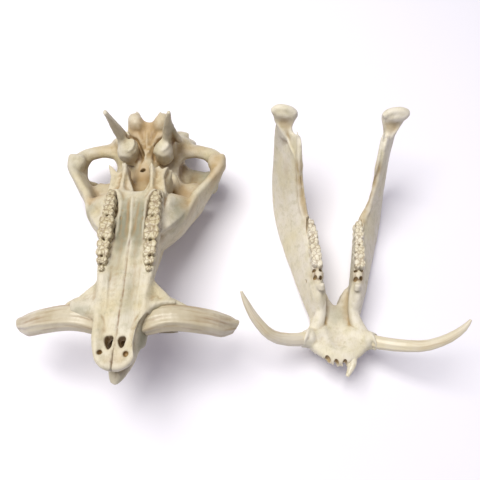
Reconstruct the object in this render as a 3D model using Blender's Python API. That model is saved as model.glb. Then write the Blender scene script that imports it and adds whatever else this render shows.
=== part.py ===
"""Skull of a young adult warthog in its two bones, life-size and still.

The cranium lies on its crown with the palate up and the nose towards -Y.
The mandible lies beside it on its base, teeth up, with its chin towards -Y.

Each bone is drawn in millimetres in a frame of its own and then set down in
metres. In the cranium's frame x is across, y runs back from the tip of the
premaxilla and z rises from the palate, so the crown has the lowest z. In the
mandible's frame y runs back from the front of the chin and z rises from the
floor. The two bones are drawn for the +x side and mirrored.
"""
import math
import random

import bpy
import bmesh
from mathutils import Matrix, Vector

MM = 0.001                     # one millimetre in metres
GAP = 0.3                      # what touching pieces keep between them
VOXEL = 1.9                    # grain of the fused bone
SEED = 11

# Where the bones lie: turn about z, nose-up tilt and roll in degrees, then a shift in mm
CRANIUM_POSE = (-0.4, -2.0, -1.0, (-125.0, -178.5, 131.0))
MANDIBLE_POSE = (-1.4, 0.0, 0.0, (115.4, -151.3, 0.0))

CREST_Y = 374.0                # nuchal crest, the rearmost bone
CROWN_Z = -121.5               # flat of the frontals, what the cranium lies on
ORBIT = Vector((58.0, 259.0, -95.0))
PALATE_Z = -5.0
TOOTH_ROW_X = 25.2             # middle of the upper cheek teeth
LOWER_ROW_X = 25.0
RAMUS_LEAN = 3.5               # both coronoids stand a little towards +x
ARCH_HALF_WIDTH = 104.0        # half the width over the cheek bones
SNOUT_SHIFT = 1.8              # the snout's tip stands a little towards -x
TUSK_REACH = 119.5             # upper tusk's end from the midline
LOWER_TUSK_TIP = Vector((132.0, 38.0, 101.0))

BONE = (0.80, 0.75, 0.62)
BONE_PALE = (0.84, 0.79, 0.67)
IVORY = (0.83, 0.76, 0.60)

CRANIUM_TRIANGLES = 4000       # budget of each bone before its teeth are added
MANDIBLE_TRIANGLES = 2300


def clear_scene():
    for obj in list(bpy.data.objects):
        bpy.data.objects.remove(obj, do_unlink=True)


def new_object(name, verts, faces):
    mesh = bpy.data.meshes.new(name)
    mesh.from_pydata([tuple(v) for v in verts], [], faces)
    mesh.update()
    obj = bpy.data.objects.new(name, mesh)
    bpy.context.scene.collection.objects.link(obj)
    return obj


def signed_power(value, power):
    return math.copysign(abs(value) ** power, value)


def mix(a, b, t):
    return a + (b - a) * t


def loft(name, rings, rise=0.0):
    """Skins rings of equal count and closes both ends with a fan, the last one raised to a point."""
    count = len(rings[0])
    verts = [v for ring in rings for v in ring]
    faces = []
    for i in range(len(rings) - 1):
        for j in range(count):
            k = (j + 1) % count
            a = i * count + j
            b = i * count + k
            faces.append((a, b, b + count, a + count))
    for start, turn in ((0, True), ((len(rings) - 1) * count, False)):
        ring = verts[start:start + count]
        lift = 0.0 if turn else rise
        verts.append(sum((Vector(v) for v in ring), Vector()) / count + Vector((0.0, 0.0, lift)))
        tip = len(verts) - 1
        for j in range(count):
            a = start + j
            b = start + (j + 1) % count
            faces.append((b, a, tip) if turn else (a, b, tip))
    obj = new_object(name, verts, faces)
    face_outward(obj)
    return obj


def face_outward(obj):
    bm = bmesh.new()
    bm.from_mesh(obj.data)
    bmesh.ops.recalc_face_normals(bm, faces=bm.faces)
    bm.to_mesh(obj.data)
    bm.free()


def slice_ring(y, z_low, z_high, x_low, x_high, half_low, half_high, belly=0.0, power=2.6, sides=28):
    """One upright slice across y: its middle and half-width change from low to high."""
    ring = []
    for i in range(sides):
        angle = 2.0 * math.pi * i / sides
        up = signed_power(math.sin(angle), 2.0 / power)
        out = signed_power(math.cos(angle), 2.0 / power)
        t = 0.5 + 0.5 * up
        half = mix(half_low, half_high, t) + belly * 4.0 * t * (1.0 - t)
        ring.append(Vector((mix(x_low, x_high, t) + half * out, y, mix(z_low, z_high, t))))
    return ring


def slices(name, rows, power=2.6, belly=0.0):
    """A long bone from rows (y, z low, z high, x low, x high, half low, half high)."""
    return loft(name, [slice_ring(*row, belly=belly, power=power) for row in rows])


def ellipsoid(name, centre, radii, turn=(0.0, 0.0, 0.0), segments=20):
    bm = bmesh.new()
    bmesh.ops.create_uvsphere(bm, u_segments=segments, v_segments=segments // 2 + 2, radius=1.0)
    angles = [math.radians(a) for a in turn]
    matrix = Matrix.Translation(centre)
    matrix @= Matrix.Rotation(angles[2], 4, "Z") @ Matrix.Rotation(angles[1], 4, "Y")
    matrix @= Matrix.Rotation(angles[0], 4, "X") @ Matrix.Diagonal((*radii, 1.0))
    bm.transform(matrix)
    obj = new_object(name, [], [])
    bm.to_mesh(obj.data)
    bm.free()
    return obj


def curve_through(points, steps):
    """Points spread along a smooth curve through the given ones."""
    path = [Vector(p) for p in points]
    ends = [path[0] * 2 - path[1]] + path + [path[-1] * 2 - path[-2]]
    out = []
    for i in range(1, len(ends) - 2):
        a, b, c, d = ends[i - 1:i + 3]
        for s in range(steps):
            t = s / steps
            out.append(0.5 * (2 * b + (c - a) * t + (2 * a - 5 * b + 4 * c - d) * t ** 2
                              + (3 * b - a - 3 * c + d) * t ** 3))
    out.append(path[-1])
    return out


def tube(name, points, sizes, flat=(0.0, 1.0, 0.0), steps=4, sides=18, power=2.0):
    """A bar along a curve; sizes are its half-sizes along flat and across it."""
    path = curve_through(points, steps)
    rings = []
    for i, point in enumerate(path):
        ahead = path[min(i + 1, len(path) - 1)] - path[max(i - 1, 0)]
        ahead.normalize()
        across = Vector(flat)
        across = (across - ahead * across.dot(ahead)).normalized()
        other = ahead.cross(across)
        spot = i / (len(path) - 1) * (len(sizes) - 1)
        low = min(int(spot), len(sizes) - 2)
        wide = mix(sizes[low][0], sizes[low + 1][0], spot - low)
        thick = mix(sizes[low][1], sizes[low + 1][1], spot - low)
        ring = []
        for j in range(sides):
            angle = 2.0 * math.pi * j / sides
            a = signed_power(math.cos(angle), 2.0 / power) * wide
            b = signed_power(math.sin(angle), 2.0 / power) * thick
            ring.append(point + across * a + other * b)
        rings.append(ring)
    return loft(name, rings)


def box(name, low, high):
    x0, y0, z0 = low
    x1, y1, z1 = high
    verts = [(x0, y0, z0), (x1, y0, z0), (x1, y1, z0), (x0, y1, z0),
             (x0, y0, z1), (x1, y0, z1), (x1, y1, z1), (x0, y1, z1)]
    faces = [(0, 3, 2, 1), (4, 5, 6, 7), (0, 1, 5, 4), (1, 2, 6, 5), (2, 3, 7, 6), (3, 0, 4, 7)]
    return new_object(name, verts, faces)


def side_prism(name, outline, x_low, x_high):
    """A prism across x from an outline of (y, z) points."""
    return loft(name, [[Vector((x, y, z)) for y, z in outline] for x in (x_low, x_high)])


def mirrored(obj):
    twin = obj.copy()
    twin.data = obj.data.copy()
    bpy.context.scene.collection.objects.link(twin)
    twin.data.transform(Matrix.Diagonal((-1.0, 1.0, 1.0, 1.0)))
    twin.data.flip_normals()
    return twin


def both_sides(objs):
    return list(objs) + [mirrored(obj) for obj in objs]


def remove(objs):
    for obj in objs:
        bpy.data.objects.remove(obj, do_unlink=True)


def apply_modifiers(obj):
    graph = bpy.context.evaluated_depsgraph_get()
    graph.update()
    mesh = bpy.data.meshes.new_from_object(obj.evaluated_get(graph))
    obj.modifiers.clear()
    obj.data = mesh


def joined(name, objs):
    """The meshes of several objects in one, still overlapping."""
    bm = bmesh.new()
    for obj in objs:
        bm.from_mesh(obj.data)
    out = new_object(name, [], [])
    bm.to_mesh(out.data)
    bm.free()
    remove(objs)
    return out


def grown_together(obj, voxel=VOXEL, rounds=4):
    """Fuses what overlaps into one skin and softens its joins, as bone has grown."""
    fuse = obj.modifiers.new("fuse", "REMESH")
    fuse.mode = "VOXEL"
    fuse.voxel_size = voxel
    soften = obj.modifiers.new("soften", "SMOOTH")
    soften.factor = 0.5
    soften.iterations = rounds
    apply_modifiers(obj)
    keep_largest(obj)


def keep_largest(obj):
    """Keeps the one closed surface with the most faces."""
    bm = bmesh.new()
    bm.from_mesh(obj.data)
    left = set(bm.faces)
    shells = []
    while left:
        stack = [left.pop()]
        shell = [stack[0]]
        while stack:
            for edge in stack.pop().edges:
                for face in edge.link_faces:
                    if face in left:
                        left.remove(face)
                        shell.append(face)
                        stack.append(face)
        shells.append(shell)
    shells.sort(key=len, reverse=True)
    for shell in shells[1:]:
        bmesh.ops.delete(bm, geom=shell, context="FACES")
    bm.to_mesh(obj.data)
    bm.free()


def thin_to(obj, triangles):
    bm = bmesh.new()
    bm.from_mesh(obj.data)
    bmesh.ops.triangulate(bm, faces=bm.faces)
    bm.to_mesh(obj.data)
    count = len(bm.faces)
    bm.free()
    if count > triangles:
        fewer = obj.modifiers.new("fewer", "DECIMATE")
        fewer.ratio = triangles / count
        apply_modifiers(obj)


def boolean(obj, operation, others, solver="EXACT"):
    """Cuts with, adds or keeps what lies inside the other solids, which are then removed."""
    group = bpy.data.collections.new("operands")
    for other in others:
        group.objects.link(other)
    step = obj.modifiers.new("boolean", "BOOLEAN")
    step.operation = operation
    step.solver = solver
    step.operand_type = "COLLECTION"
    step.collection = group
    apply_modifiers(obj)
    remove(others)
    bpy.data.collections.remove(group)


def copy_of(obj, name):
    twin = obj.copy()
    twin.data = obj.data.copy()
    twin.name = name
    bpy.context.scene.collection.objects.link(twin)
    return twin


def parted(whole, name, region):
    """Takes the piece inside region(0) out of the whole, with a thin gap left round it."""
    piece = copy_of(whole, name)
    boolean(piece, "INTERSECT", [region(0.0)])
    keep_largest(piece)
    boolean(whole, "DIFFERENCE", [region(GAP)])
    return piece


def muzzle_parts():
    """Premaxilla, maxilla and nasal bones, from the snout back to the orbits."""
    rows = [                   # y, crown side z, palate side z, middles, half crown side, half palate side
        (1.0, -12.0, -3.0, 0, 0, 6.0, 6.0),
        (6.0, -14.0, -3.0, 0, 0, 12.5, 12.0),
        (14.0, -15.5, -3.0, 0, 0, 19.0, 17.5),
        (26.0, -20.0, -4.0, 0, 0, 24.5, 21.5),
        (33.0, -38.0, -4.5, 0, 0, 26.5, 22.0),
        (40.0, -42.0, -5.0, 0, 0, 27.0, 23.0),
        (54.0, -49.0, PALATE_Z, 0, 0, 26.0, 25.0),
        (75.0, -55.0, PALATE_Z, 0, 0, 24.0, 26.0),
        (100.0, -62.0, PALATE_Z, 0, 0, 22.0, 26.0),
        (125.0, -69.0, PALATE_Z, 0, 0, 22.5, 29.0),
        (150.0, -78.0, PALATE_Z, 0, 0, 24.0, 31.5),
        (175.0, -89.0, PALATE_Z, 0, 0, 28.0, 33.5),
        (200.0, -103.0, PALATE_Z, 0, 0, 40.0, 33.0),
        (216.0, -112.0, -8.0, 0, 0, 51.0, 31.0),
        (236.0, -118.0, -34.0, 0, 0, 58.0, 24.0),
    ]
    body = slices("muzzle", rows, power=3.4)
    nasal_rows = [
        (-6.0, -38.0, -33.5, -4.6, -4.6, 4.0, 3.0),
        (0.0, -40.0, -32.0, -3.6, -3.6, 8.5, 7.5),
        (8.0, -42.0, -31.0, -2.0, -2.0, 11.5, 10.5),
        (16.0, -44.0, -31.0, -0.8, -0.8, 14.5, 13.0),
        (36.0, -48.0, -32.0, 0, 0, 18.5, 17.0),
        (70.0, -56.5, -40.0, 0, 0, 20.0, 18.0),
        (130.0, -73.0, -55.0, 0, 0, 22.5, 20.0),
        (190.0, -100.5, -85.0, 0, 0, 30.0, 24.0),
    ]
    nasals = slices("nasals", nasal_rows, power=2.8)
    lip = tube("jaw edge", [(0.0, 3.5, -5.0), (10.0, 6.5, -5.0), (16.5, 14.0, -5.0), (20.5, 28.0, -5.5),
                            (23.0, 46.0, -7.0), (23.0, 80.0, -8.0), (24.0, 104.0, -8.0)],
               [(3.5, 3.6), (4.5, 4.6), (5.0, 5.2), (5.0, 5.0), (5.0, 5.0), (5.0, 4.6), (6.0, 6.0)])
    sockets = tube("tooth sockets", [(24.5, 100.0, -9.0), (TOOTH_ROW_X, 118.0, -9.0), (25.7, 150.0, -8.0),
                                     (26.2, 185.0, -8.5), (26.2, 216.0, -11.0)],
                   [(5.5, 7.0), (7.0, 8.0), (8.0, 9.5), (8.0, 9.5), (7.0, 9.0)], flat=(1.0, 0.0, 0.0))
    return [body, nasals] + both_sides([lip, sockets])


def tusk_path(side):
    """The upper tusk's middle line from deep in its socket to its blunt end."""
    reach = TUSK_REACH + (1.5 if side < 0 else -1.5)
    return [(side * 22.0, 56.0, -24.0), (side * 44.0, 62.0, -20.0), (side * 66.0, 63.5, -23.0),
            (side * 90.0, 62.5, -32.0), (side * (reach - 14.0), 62.5, -44.0), (side * reach, 65.0, -54.5)]


def upper_tusk(name, side, grow=0.0):
    """Thick all the way, a little flattened, and worn blunt and slanting at the end."""
    sizes = [(12.5, 9.5), (13.6, 10.4), (13.4, 10.2), (12.9, 9.8), (12.3, 9.2), (10.6, 7.4)]
    sizes = [(a + grow, b + grow) for a, b in sizes]
    tusk = tube(name, tusk_path(side), sizes, sides=12, steps=3)
    end = tusk_path(side)[-1]
    for vert in tusk.data.vertices:
        worn = max(0.0, 1.0 - (abs(end[0]) - abs(vert.co.x)) / 16.0)
        vert.co.x += side * 0.28 * worn * (vert.co.y - end[1] - 3.0)
    return tusk


def socket_parts():
    """The flared collar of bone that the upper tusk grows out of, and its buttress."""
    collar = tube("collar", [(12.0, 67.0, -26.0), (35.0, 68.0, -22.0), (55.0, 69.0, -23.0)],
                  [(16.0, 17.5), (14.2, 16.4), (14.0, 14.4)], power=2.2)
    buttress = loft("buttress", [
        [Vector(corner) for corner in ((14, 58, -40), (14, 116, -44), (58, 70, -34), (58, 60, -34))],
        [Vector(corner) for corner in ((14, 58, -8), (14, 118, -9), (60, 74, -15), (60, 60, -15))]])
    ridge = tube("ridge", [(20, 74, -46), (40, 72, -42), (56, 70, -36)], [(7, 6), (7, 6), (4, 4)])
    return [collar, buttress, ridge]


def face_parts():
    """Frontals, orbit rims, braincase and occiput."""
    crown_rows = [
        (196.0, -101.0, -70.0, 0, 0, 38.0, 30.0),
        (212.0, -111.0, -66.0, 0, 0, 50.0, 34.0),
        (232.0, -118.5, -60.0, 0, 0, 59.0, 34.0),
        (252.0, CROWN_Z, -58.0, 0, 0, 64.0, 34.0),
        (276.0, CROWN_Z - 0.3, -56.0, 0, 0, 67.0, 37.0),
        (292.0, CROWN_Z, -50.0, 0, 0, 67.0, 36.0),
        (306.0, CROWN_Z, -48.0, 0, 0, 60.0, 36.0),
        (322.0, CROWN_Z + 0.3, -44.0, 0, 0, 50.0, 38.0),
        (338.0, CROWN_Z + 1.5, -46.0, 0, 0, 44.0, 38.0),
        (352.0, CROWN_Z + 2.5, -60.0, 0, 0, 47.0, 30.0),
        (366.0, CROWN_Z + 3.2, -88.0, 0, 0, 47.0, 36.0),
        (CREST_Y, CROWN_Z + 4.5, -104.0, 0, 0, 42.0, 36.0),
    ]
    crown = slices("crown", crown_rows, power=3.0)
    base = slices("skull base", [
        (214.0, -75.0, -24.0, 0, 0, 26.0, 18.0),
        (250.0, -75.0, -38.0, 0, 0, 24.0, 13.0),
        (275.0, -80.0, -40.0, 0, 0, 28.0, 12.0),
        (300.0, -80.0, -38.0, 0, 0, 36.0, 14.0),
        (322.0, -80.0, -36.0, 0, 0, 36.0, 17.0),
        (345.0, -66.0, -33.0, 0, 0, 26.0, 20.0)], power=2.4)
    occiput = slices("occiput", [
        (312.0, -118.0, -46.0, 0, 0, 38.0, 42.0),
        (330.0, CROWN_Z + 2.0, -44.0, 0, 0, 44.0, 46.0),
        (344.0, CROWN_Z + 2.6, -58.0, 0, 0, 49.0, 55.0),
        (356.0, CROWN_Z + 3.2, -76.0, 0, 0, 51.0, 57.0),
        (368.0, CROWN_Z + 4.0, -95.0, 0, 0, 49.0, 50.0),
        (CREST_Y, CROWN_Z + 4.8, -107.0, 0, 0, 44.0, 41.0)], power=3.0)
    condyle = ellipsoid("condyle", (17.2, 342.0, -37.0), (11.0, 16.0, 16.0), (20.0, 0.0, -20.0))
    bulla = ellipsoid("bulla", (23.0, 292.5, -33.0), (13.2, 15.0, 13.2))
    process = tube("paroccipital", [(28.0, 311.0, -58.0), (29.0, 307.0, -20.0), (33.5, 304.0, 6.0),
                                    (38.5, 302.0, 33.0)],
                   [(12.0, 12.0), (10.0, 6.5), (6.8, 5.2), (3.6, 3.2)])
    mastoid = tube("mastoid", [(30.0, 320.0, -48.0), (44.0, 328.0, -60.0), (54.0, 341.0, -80.0),
                               (50.0, 359.0, -98.0), (40.0, 368.0, -112.0)],
                   [(12.0, 12.0), (9.0, 8.5), (6.5, 6.5), (6.0, 6.0), (5.0, 5.0)])
    ear = tube("ear process", [(26.0, 345.0, -66.0), (38.0, 353.0, -70.0), (50.0, 356.0, -73.0)],
               [(7.0, 6.0), (5.2, 5.0), (3.2, 3.4)])
    tip = tube("ear tube", [(44.0, 318.0, -64.0), (60.0, 324.0, -64.0), (74.0, 320.0, -62.0)],
               [(7.0, 6.0), (5.0, 5.0), (3.0, 3.2)])
    behind_orbit = tube("behind the orbit", [(34.0, 316.0, -106.0), (50.0, 305.0, -103.0), (66.0, 300.0, -99.0),
                                             (80.0, 300.0, -97.0), (86.0, 288.0, -97.0), (82.0, 274.0, -98.0)],
                        [(10.0, 9.0), (10.0, 9.5), (9.5, 9.5), (8.0, 9.0), (7.0, 9.0), (6.0, 8.0)])
    squamosal = tube("squamosal", [(30.0, 308.0, -70.0), (46.0, 314.0, -66.0), (66.0, 314.0, -62.0),
                                   (84.0, 306.0, -60.0), (95.0, 292.0, -58.0)],
                     [(17.0, 15.0), (11.0, 12.0), (9.5, 9.0), (11.0, 10.0), (10.0, 13.0)])
    orbit_back = ellipsoid("back of the orbit", (70.0, 280.0, -96.0), (17.0, 20.0, 10.0))
    single = [crown, base, occiput, behind_orbit, orbit_back]
    return single + both_sides([condyle, bulla, process, mastoid, ear, tip, squamosal, orbit_ring()])


def orbit_ring():
    """The rim of the eye socket, not quite closed behind, its rear edge further out."""
    points = []
    for i in range(13):
        angle = math.radians(-208.0 + 28.0 * i)
        fall = 0.5 - 0.5 * math.cos(angle)
        y = ORBIT.y + 22.5 * math.sin(angle)
        points.append((ORBIT.x - 1.0 + 22.0 * fall + 0.45 * (y - ORBIT.y), y, ORBIT.z - 21.0 * math.cos(angle)))
    return tube("orbit rim", points, [(5.0, 5.0), (7.5, 7.0), (8.0, 7.5), (8.0, 7.5), (7.5, 7.0), (4.5, 4.5)],
                flat=(1.0, 0.0, 0.0), steps=2)


def arch_parts():
    """The cheek bone: a deep plate that leans out at its palate side."""
    path = [(22.0, 166.0, -52.0), (38.5, 181.0, -53.0), (48.0, 194.0, -55.0), (55.0, 208.0, -58.0),
            (62.5, 224.0, -60.0), (70.0, 238.0, -61.0), (78.5, 252.0, -61.0), (87.0, 267.0, -60.0),
            (92.5, 281.0, -58.0), (93.0, 297.0, -58.0)]
    rings = []
    path = curve_through(path, 3)
    last = len(path) - 1
    for i, point in enumerate(path):
        t = i / last
        ahead = (path[min(i + 1, last)] - path[max(i - 1, 0)]).normalized()
        lean = Vector((mix(0.45, 0.1, 2.0 * t) if t < 0.5 else mix(0.1, 0.35, 2.0 * t - 1.0), 0.0, 1.0))
        lean = (lean - ahead * lean.dot(ahead)).normalized()
        out = ahead.cross(lean)
        half = mix(31.0, 19.0, t ** 2.0)
        thick = mix(8.0, 7.5, t)
        ring = []
        for j in range(18):
            angle = 2.0 * math.pi * j / 18
            ring.append(point + lean * half * math.sin(angle)
                        + out * thick * signed_power(math.cos(angle), 0.8))
        rings.append(ring)
    plate = loft("cheek plate", rings)
    knob = ellipsoid("cheek knob", (ARCH_HALF_WIDTH - 12.0, 285.5, -48.5), (12.5, 15.0, 10.0), (0, 20, 20))
    floor = ellipsoid("orbit floor", (50.0, 241.0, -77.0), (26.0, 36.0, 15.0), (0, 0, -28))
    wall = ellipsoid("side of the sphenoid", (36.0, 262.0, -84.0), (12.0, 26.0, 34.0), (0, 0, 6))
    return [plate, knob, floor, wall]


def pterygoid_parts():
    """Thin plates beside the rear opening of the nose, each with a hooked end."""
    plate = tube("pterygoid", [(18.5, 206.0, -26.0), (17.5, 230.0, -25.0), (16.5, 247.0, -24.0),
                               (16.0, 259.0, -28.0)],
                 [(4.4, 20.0), (4.0, 19.0), (3.6, 16.5), (2.8, 7.0)], flat=(1.0, 0.0, 0.0))
    hook = tube("pterygoid hook", [(16.8, 240.0, -14.0), (16.2, 250.0, -9.0), (15.8, 257.0, -3.5)],
                [(3.6, 6.0), (3.2, 4.6), (2.4, 2.4)], flat=(1.0, 0.0, 0.0))
    wing = tube("pterygoid wing", [(25.0, 208.0, -30.0), (29.0, 228.0, -36.0), (33.0, 244.0, -40.0),
                                   (35.0, 254.0, -46.0)],
                [(6.0, 20.0), (5.0, 20.0), (4.2, 18.0), (3.4, 12.0)], flat=(1.0, 0.0, 0.0))
    spike = tube("pterygoid spike", [(31.0, 238.0, -32.0), (35.0, 249.0, -27.0), (38.8, 259.0, -20.5)],
                 [(4.0, 8.0), (3.4, 5.6), (2.4, 2.4)], flat=(1.0, 0.0, 0.0))
    return [plate, hook, wing, spike]


def cranium_hollows():
    """What is open in the cranium: nose, choana, orbits and temporal fossae."""
    nostril = slices("nostril", [
        (-14.0, -31.0, -14.0, 0, 0, 26.0, 26.0),
        (18.0, -32.0, -15.0, 0, 0, 26.0, 26.0),
        (34.0, -34.0, -18.0, 0, 0, 16.0, 14.0),
        (60.0, -38.0, -22.0, 0, 0, 11.0, 10.0),
        (84.0, -42.0, -30.0, 0, 0, 5.0, 5.0)], power=2.6)
    choana = slices("choana", [
        (214.0, -27.0, -15.0, 0, 0, 7.0, 7.0),
        (225.0, -34.0, 8.0, 0, 0, 12.0, 10.5),
        (244.0, -37.0, 12.0, 0, 0, 12.5, 11.0),
        (262.0, -36.0, 12.0, 0, 0, 11.5, 11.0),
        (272.0, -30.0, 12.0, 0, 0, 8.0, 9.0)], power=2.8)
    magnum = ellipsoid("foramen magnum", (0.0, 346.0, -52.0), (10.0, 20.0, 9.0), (-12.0, 0.0, 0.0))
    orbit = ellipsoid("orbit", (ORBIT.x + 10.0, ORBIT.y - 1.0, ORBIT.z + 1.0), (34.0, 16.5, 15.5), (0.0, 20.0, 14.0))
    recess = ellipsoid("pterygoid recess", (52.0, 242.0, -38.0), (12.0, 21.0, 24.0), (14.0, 0.0, -28.0))
    hollow = ellipsoid("side of the braincase", (80.0, 334.0, -100.0), (30.0, 26.0, 30.0))
    front = [open_socket()]
    for side in (-1, 1):
        x = side * 6.4 - SNOUT_SHIFT
        front.append(ellipsoid("incisive foramen", (x, 29.5, -6.0), (3.6, 6.4, 9.0)))
        x = side * 12.8 - SNOUT_SHIFT
        front.append(ellipsoid("incisor socket", (x, 18.5, -3.0), (3.0, 3.6, 6.0)))
    return [nostril, choana, magnum] + front + [fossa(-1), fossa(1)] + both_sides([orbit, recess, hollow])


def open_socket():
    """The right tusk lies bare at its palate side, where its socket has worn away."""
    return ellipsoid("open socket", (53.0, 56.0, -12.0), (26.0, 19.0, 11.0), (0.0, 12.0, -8.0))


def fossa(side):
    """The temporal opening, which runs back as it goes down; the right one is closed deep in front."""
    shallow = ((46, 262), (56, 260), (68, 272), (79, 289), (77, 300), (62, 305), (46, 302), (40, 288), (41, 272))
    deep = shallow
    if side > 0:
        deep = ((48, 293), (58, 286), (66, 282.5), (79, 279.5), (92, 285), (88, 302), (68, 305), (50, 304), (46, 300))
    drift = 0.12 if side > 0 else 0.31
    return loft("temporal fossa", [
        [Vector((side * x + drift * (z + 60.0), y - 0.74 * (z + 60.0), z)) for x, y in rim]
        for z, rim in ((-150.0, deep), (-92.0, deep), (-86.0, shallow), (-60.0, shallow), (-20.0, shallow))])


def tooth_column(x, y, z_top, radius, long, depth):
    """One rounded pillar of a cheek tooth, its root sunk in the jaw."""
    rings = []
    crown = 0.35 * radius
    for z, size in ((-depth, 0.95), (-crown, 0.95)):
        rings.append([Vector((x + radius * size * math.cos(a), y + radius * long * size * math.sin(a), z_top + z))
                      for a in (2.0 * math.pi * i / 6 for i in range(6))])
    return loft("pillar", rings, crown)


def tooth_row(rng, row_x, teeth, depth, lean):
    """Pillars of each cheek tooth in two rows: (front y, back y, crown z, half-width, pillars)."""
    columns = []
    for front, back, crown, half, pillars in teeth:
        for i in range(pillars):
            y = mix(front, back, (i + 0.5) / pillars)
            radius = min(0.56 * (back - front) / pillars, 0.62 * half) if pillars > 1 else half
            long = 0.56 * (back - front) / pillars / radius
            for side in ((-1, 1) if pillars > 1 else (0,)):
                x = row_x + lean * (y - 110.0) + side * half * 0.5 + rng.uniform(-0.4, 0.4)
                size = radius * rng.uniform(0.98, 1.06)
                columns.append(tooth_column(x, y, crown + rng.uniform(-0.8, 0.6), size, long, depth))
    return columns


UPPER_TEETH = [                # premolars, then the three molars, the last one not fully out
    (107.5, 114.5, 1.5, 3.6, 1),
    (115.5, 123.0, 2.5, 4.4, 1),
    (123.8, 143.0, 4.6, 6.4, 2),
    (143.6, 174.5, 7.0, 7.6, 3),
    (175.5, 212.0, 3.0, 7.0, 4),
]
UPPER_ROOT = 12.0              # how deep a pillar is sunk below its crown
LOWER_ROOT = 15.0
LOWER_TEETH = [
    (85.5, 93.0, 66.0, 3.8, 1),
    (110.0, 141.0, 71.5, 6.6, 3),
    (142.0, 176.0, 66.0, 6.0, 4),
]


def cut_floor(obj):
    """A small flat wherever a bone meets the floor."""
    ground = box("ground", (-1.0, -1.0, -0.5), (1.0, 1.0, 0.0))
    boolean(obj, "DIFFERENCE", [ground])
    keep_largest(obj)


def bone_pose(turn, tilt, roll, shift):
    matrix = Matrix.Diagonal((MM, MM, MM, 1.0)) @ Matrix.Translation(shift)
    matrix @= Matrix.Rotation(math.radians(turn), 4, "Z")
    matrix @= Matrix.Rotation(math.radians(tilt), 4, "X")
    return matrix @ Matrix.Rotation(math.radians(roll), 4, "Y")


def set_down(objs, pose):
    matrix = bone_pose(*pose)
    for obj in objs:
        obj.data.transform(matrix)


def material(name, colour, roughness):
    finish = bpy.data.materials.new(name)
    finish.use_nodes = True
    shader = finish.node_tree.nodes["Principled BSDF"]
    shader.inputs["Base Color"].default_value = (*colour, 1.0)
    shader.inputs["Roughness"].default_value = roughness
    shader.inputs["Metallic"].default_value = 0.0
    return finish


def finish_bone(obj, colour, roughness):
    obj.data.materials.clear()
    obj.data.materials.append(material(obj.name, colour, roughness))
    obj.data.shade_smooth()
    obj.data.set_sharp_from_angle(angle=math.radians(50.0))


def nasal_region(grow):
    """The strip of the two nasal bones, deeper where they overhang the nostril."""
    rows = []
    for y, half, top in ((-20.0, 20.0, -23.0), (33.0, 16.0, -23.0), (37.0, 16.0, -38.0), (70.0, 14.0, -46.0),
                         (130.0, 15.0, -62.0), (184.0, 13.0, -88.0), (194.0, 3.0, -94.0)):
        rows.append(slice_ring(y + (grow if y > 190 else 0.0), -200.0, top + grow, 0, 0,
                               half + grow, half + grow, power=40.0, sides=4 * 3))
    return loft("nasal region", rows)


def premaxilla_region(grow):
    outline = [(-40.0, 40.0), (43.5 + grow, 40.0), (42.0 + grow, -33.0), (96.0 + grow, -54.0 + grow),
               (96.0 + grow, -140.0), (-40.0, -140.0)]
    return side_prism("premaxilla region", outline, -80.0, 80.0)


def arch_region(side):
    def region(grow):
        low, high = 56.0 - grow, 140.0
        if side < 0:
            low, high = -high, -low
        return box("arch region", (low, 150.0, -85.0 - grow), (high, 333.0 + grow, 20.0))
    return region


def process_region(side):
    def region(grow):
        low, high = 18.0, 60.0
        if side < 0:
            low, high = -high, -low
        return box("process region", (low, 285.0, -13.0 - grow), (high, 330.0, 60.0))
    return region


def braincase_region(grow):
    return box("braincase region", (-120.0, 223.0 - grow, -200.0), (120.0, 420.0, 80.0))


def build_cranium():
    rng = random.Random(SEED)
    solid = muzzle_parts() + both_sides(socket_parts() + arch_parts() + pterygoid_parts()) + face_parts()
    whole = joined("cranium", solid)
    grown_together(whole)
    thin_to(whole, 40000)
    boolean(whole, "DIFFERENCE", cranium_hollows())
    keep_largest(whole)
    grown_together(whole)
    thin_to(whole, CRANIUM_TRIANGLES)
    boolean(whole, "DIFFERENCE", [upper_tusk("socket", side, GAP) for side in (-1, 1)])
    keep_largest(whole)
    pieces = []
    pieces.append(parted(whole, "nasal_bones", nasal_region))
    for side, word in ((-1, "left"), (1, "right")):
        pieces.append(parted(whole, f"zygomatic_arch_{word}", arch_region(side)))
        pieces.append(parted(whole, f"paroccipital_process_{word}", process_region(side)))
    pieces.append(parted(whole, "premaxilla", premaxilla_region))
    pieces.append(parted(whole, "braincase", braincase_region))
    keep_largest(whole)
    whole.name = "maxilla_with_upper_teeth"
    row = tooth_row(rng, TOOTH_ROW_X, UPPER_TEETH, UPPER_ROOT, 0.008)
    boolean(whole, "UNION", both_sides(row), "MANIFOLD")
    keep_largest(whole)
    pieces.append(whole)
    for obj in pieces:
        keep_largest(obj)
        set_down([obj], CRANIUM_POSE)
        cut_floor(obj)
        finish_bone(obj, BONE, 0.62)
    for side, word in ((-1, "left"), (1, "right")):
        tusk = upper_tusk(f"upper_tusk_{word}", side)
        set_down([tusk], CRANIUM_POSE)
        finish_bone(tusk, IVORY, 0.38)


def lower_tusk_path(side):
    """Out of the chin's corner, sideways and up, the left one curled further back."""
    if side > 0:
        tip = LOWER_TUSK_TIP
        return [(26.0, 36.0, 34.0), (48.0, 27.0, 43.0), (75.0, 20.5, 56.0), (95.0, 18.5, 69.0),
                (114.0, 23.5, 83.0), (126.0, 31.0, 94.0), tuple(tip)]
    return [(-26.0, 37.0, 34.0), (-48.0, 28.5, 43.0), (-72.0, 25.5, 57.0), (-88.0, 30.0, 71.0),
            (-102.0, 42.5, 84.5), (-110.5, 54.0, 95.0), (-116.0, 63.5, 103.0)]


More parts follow.
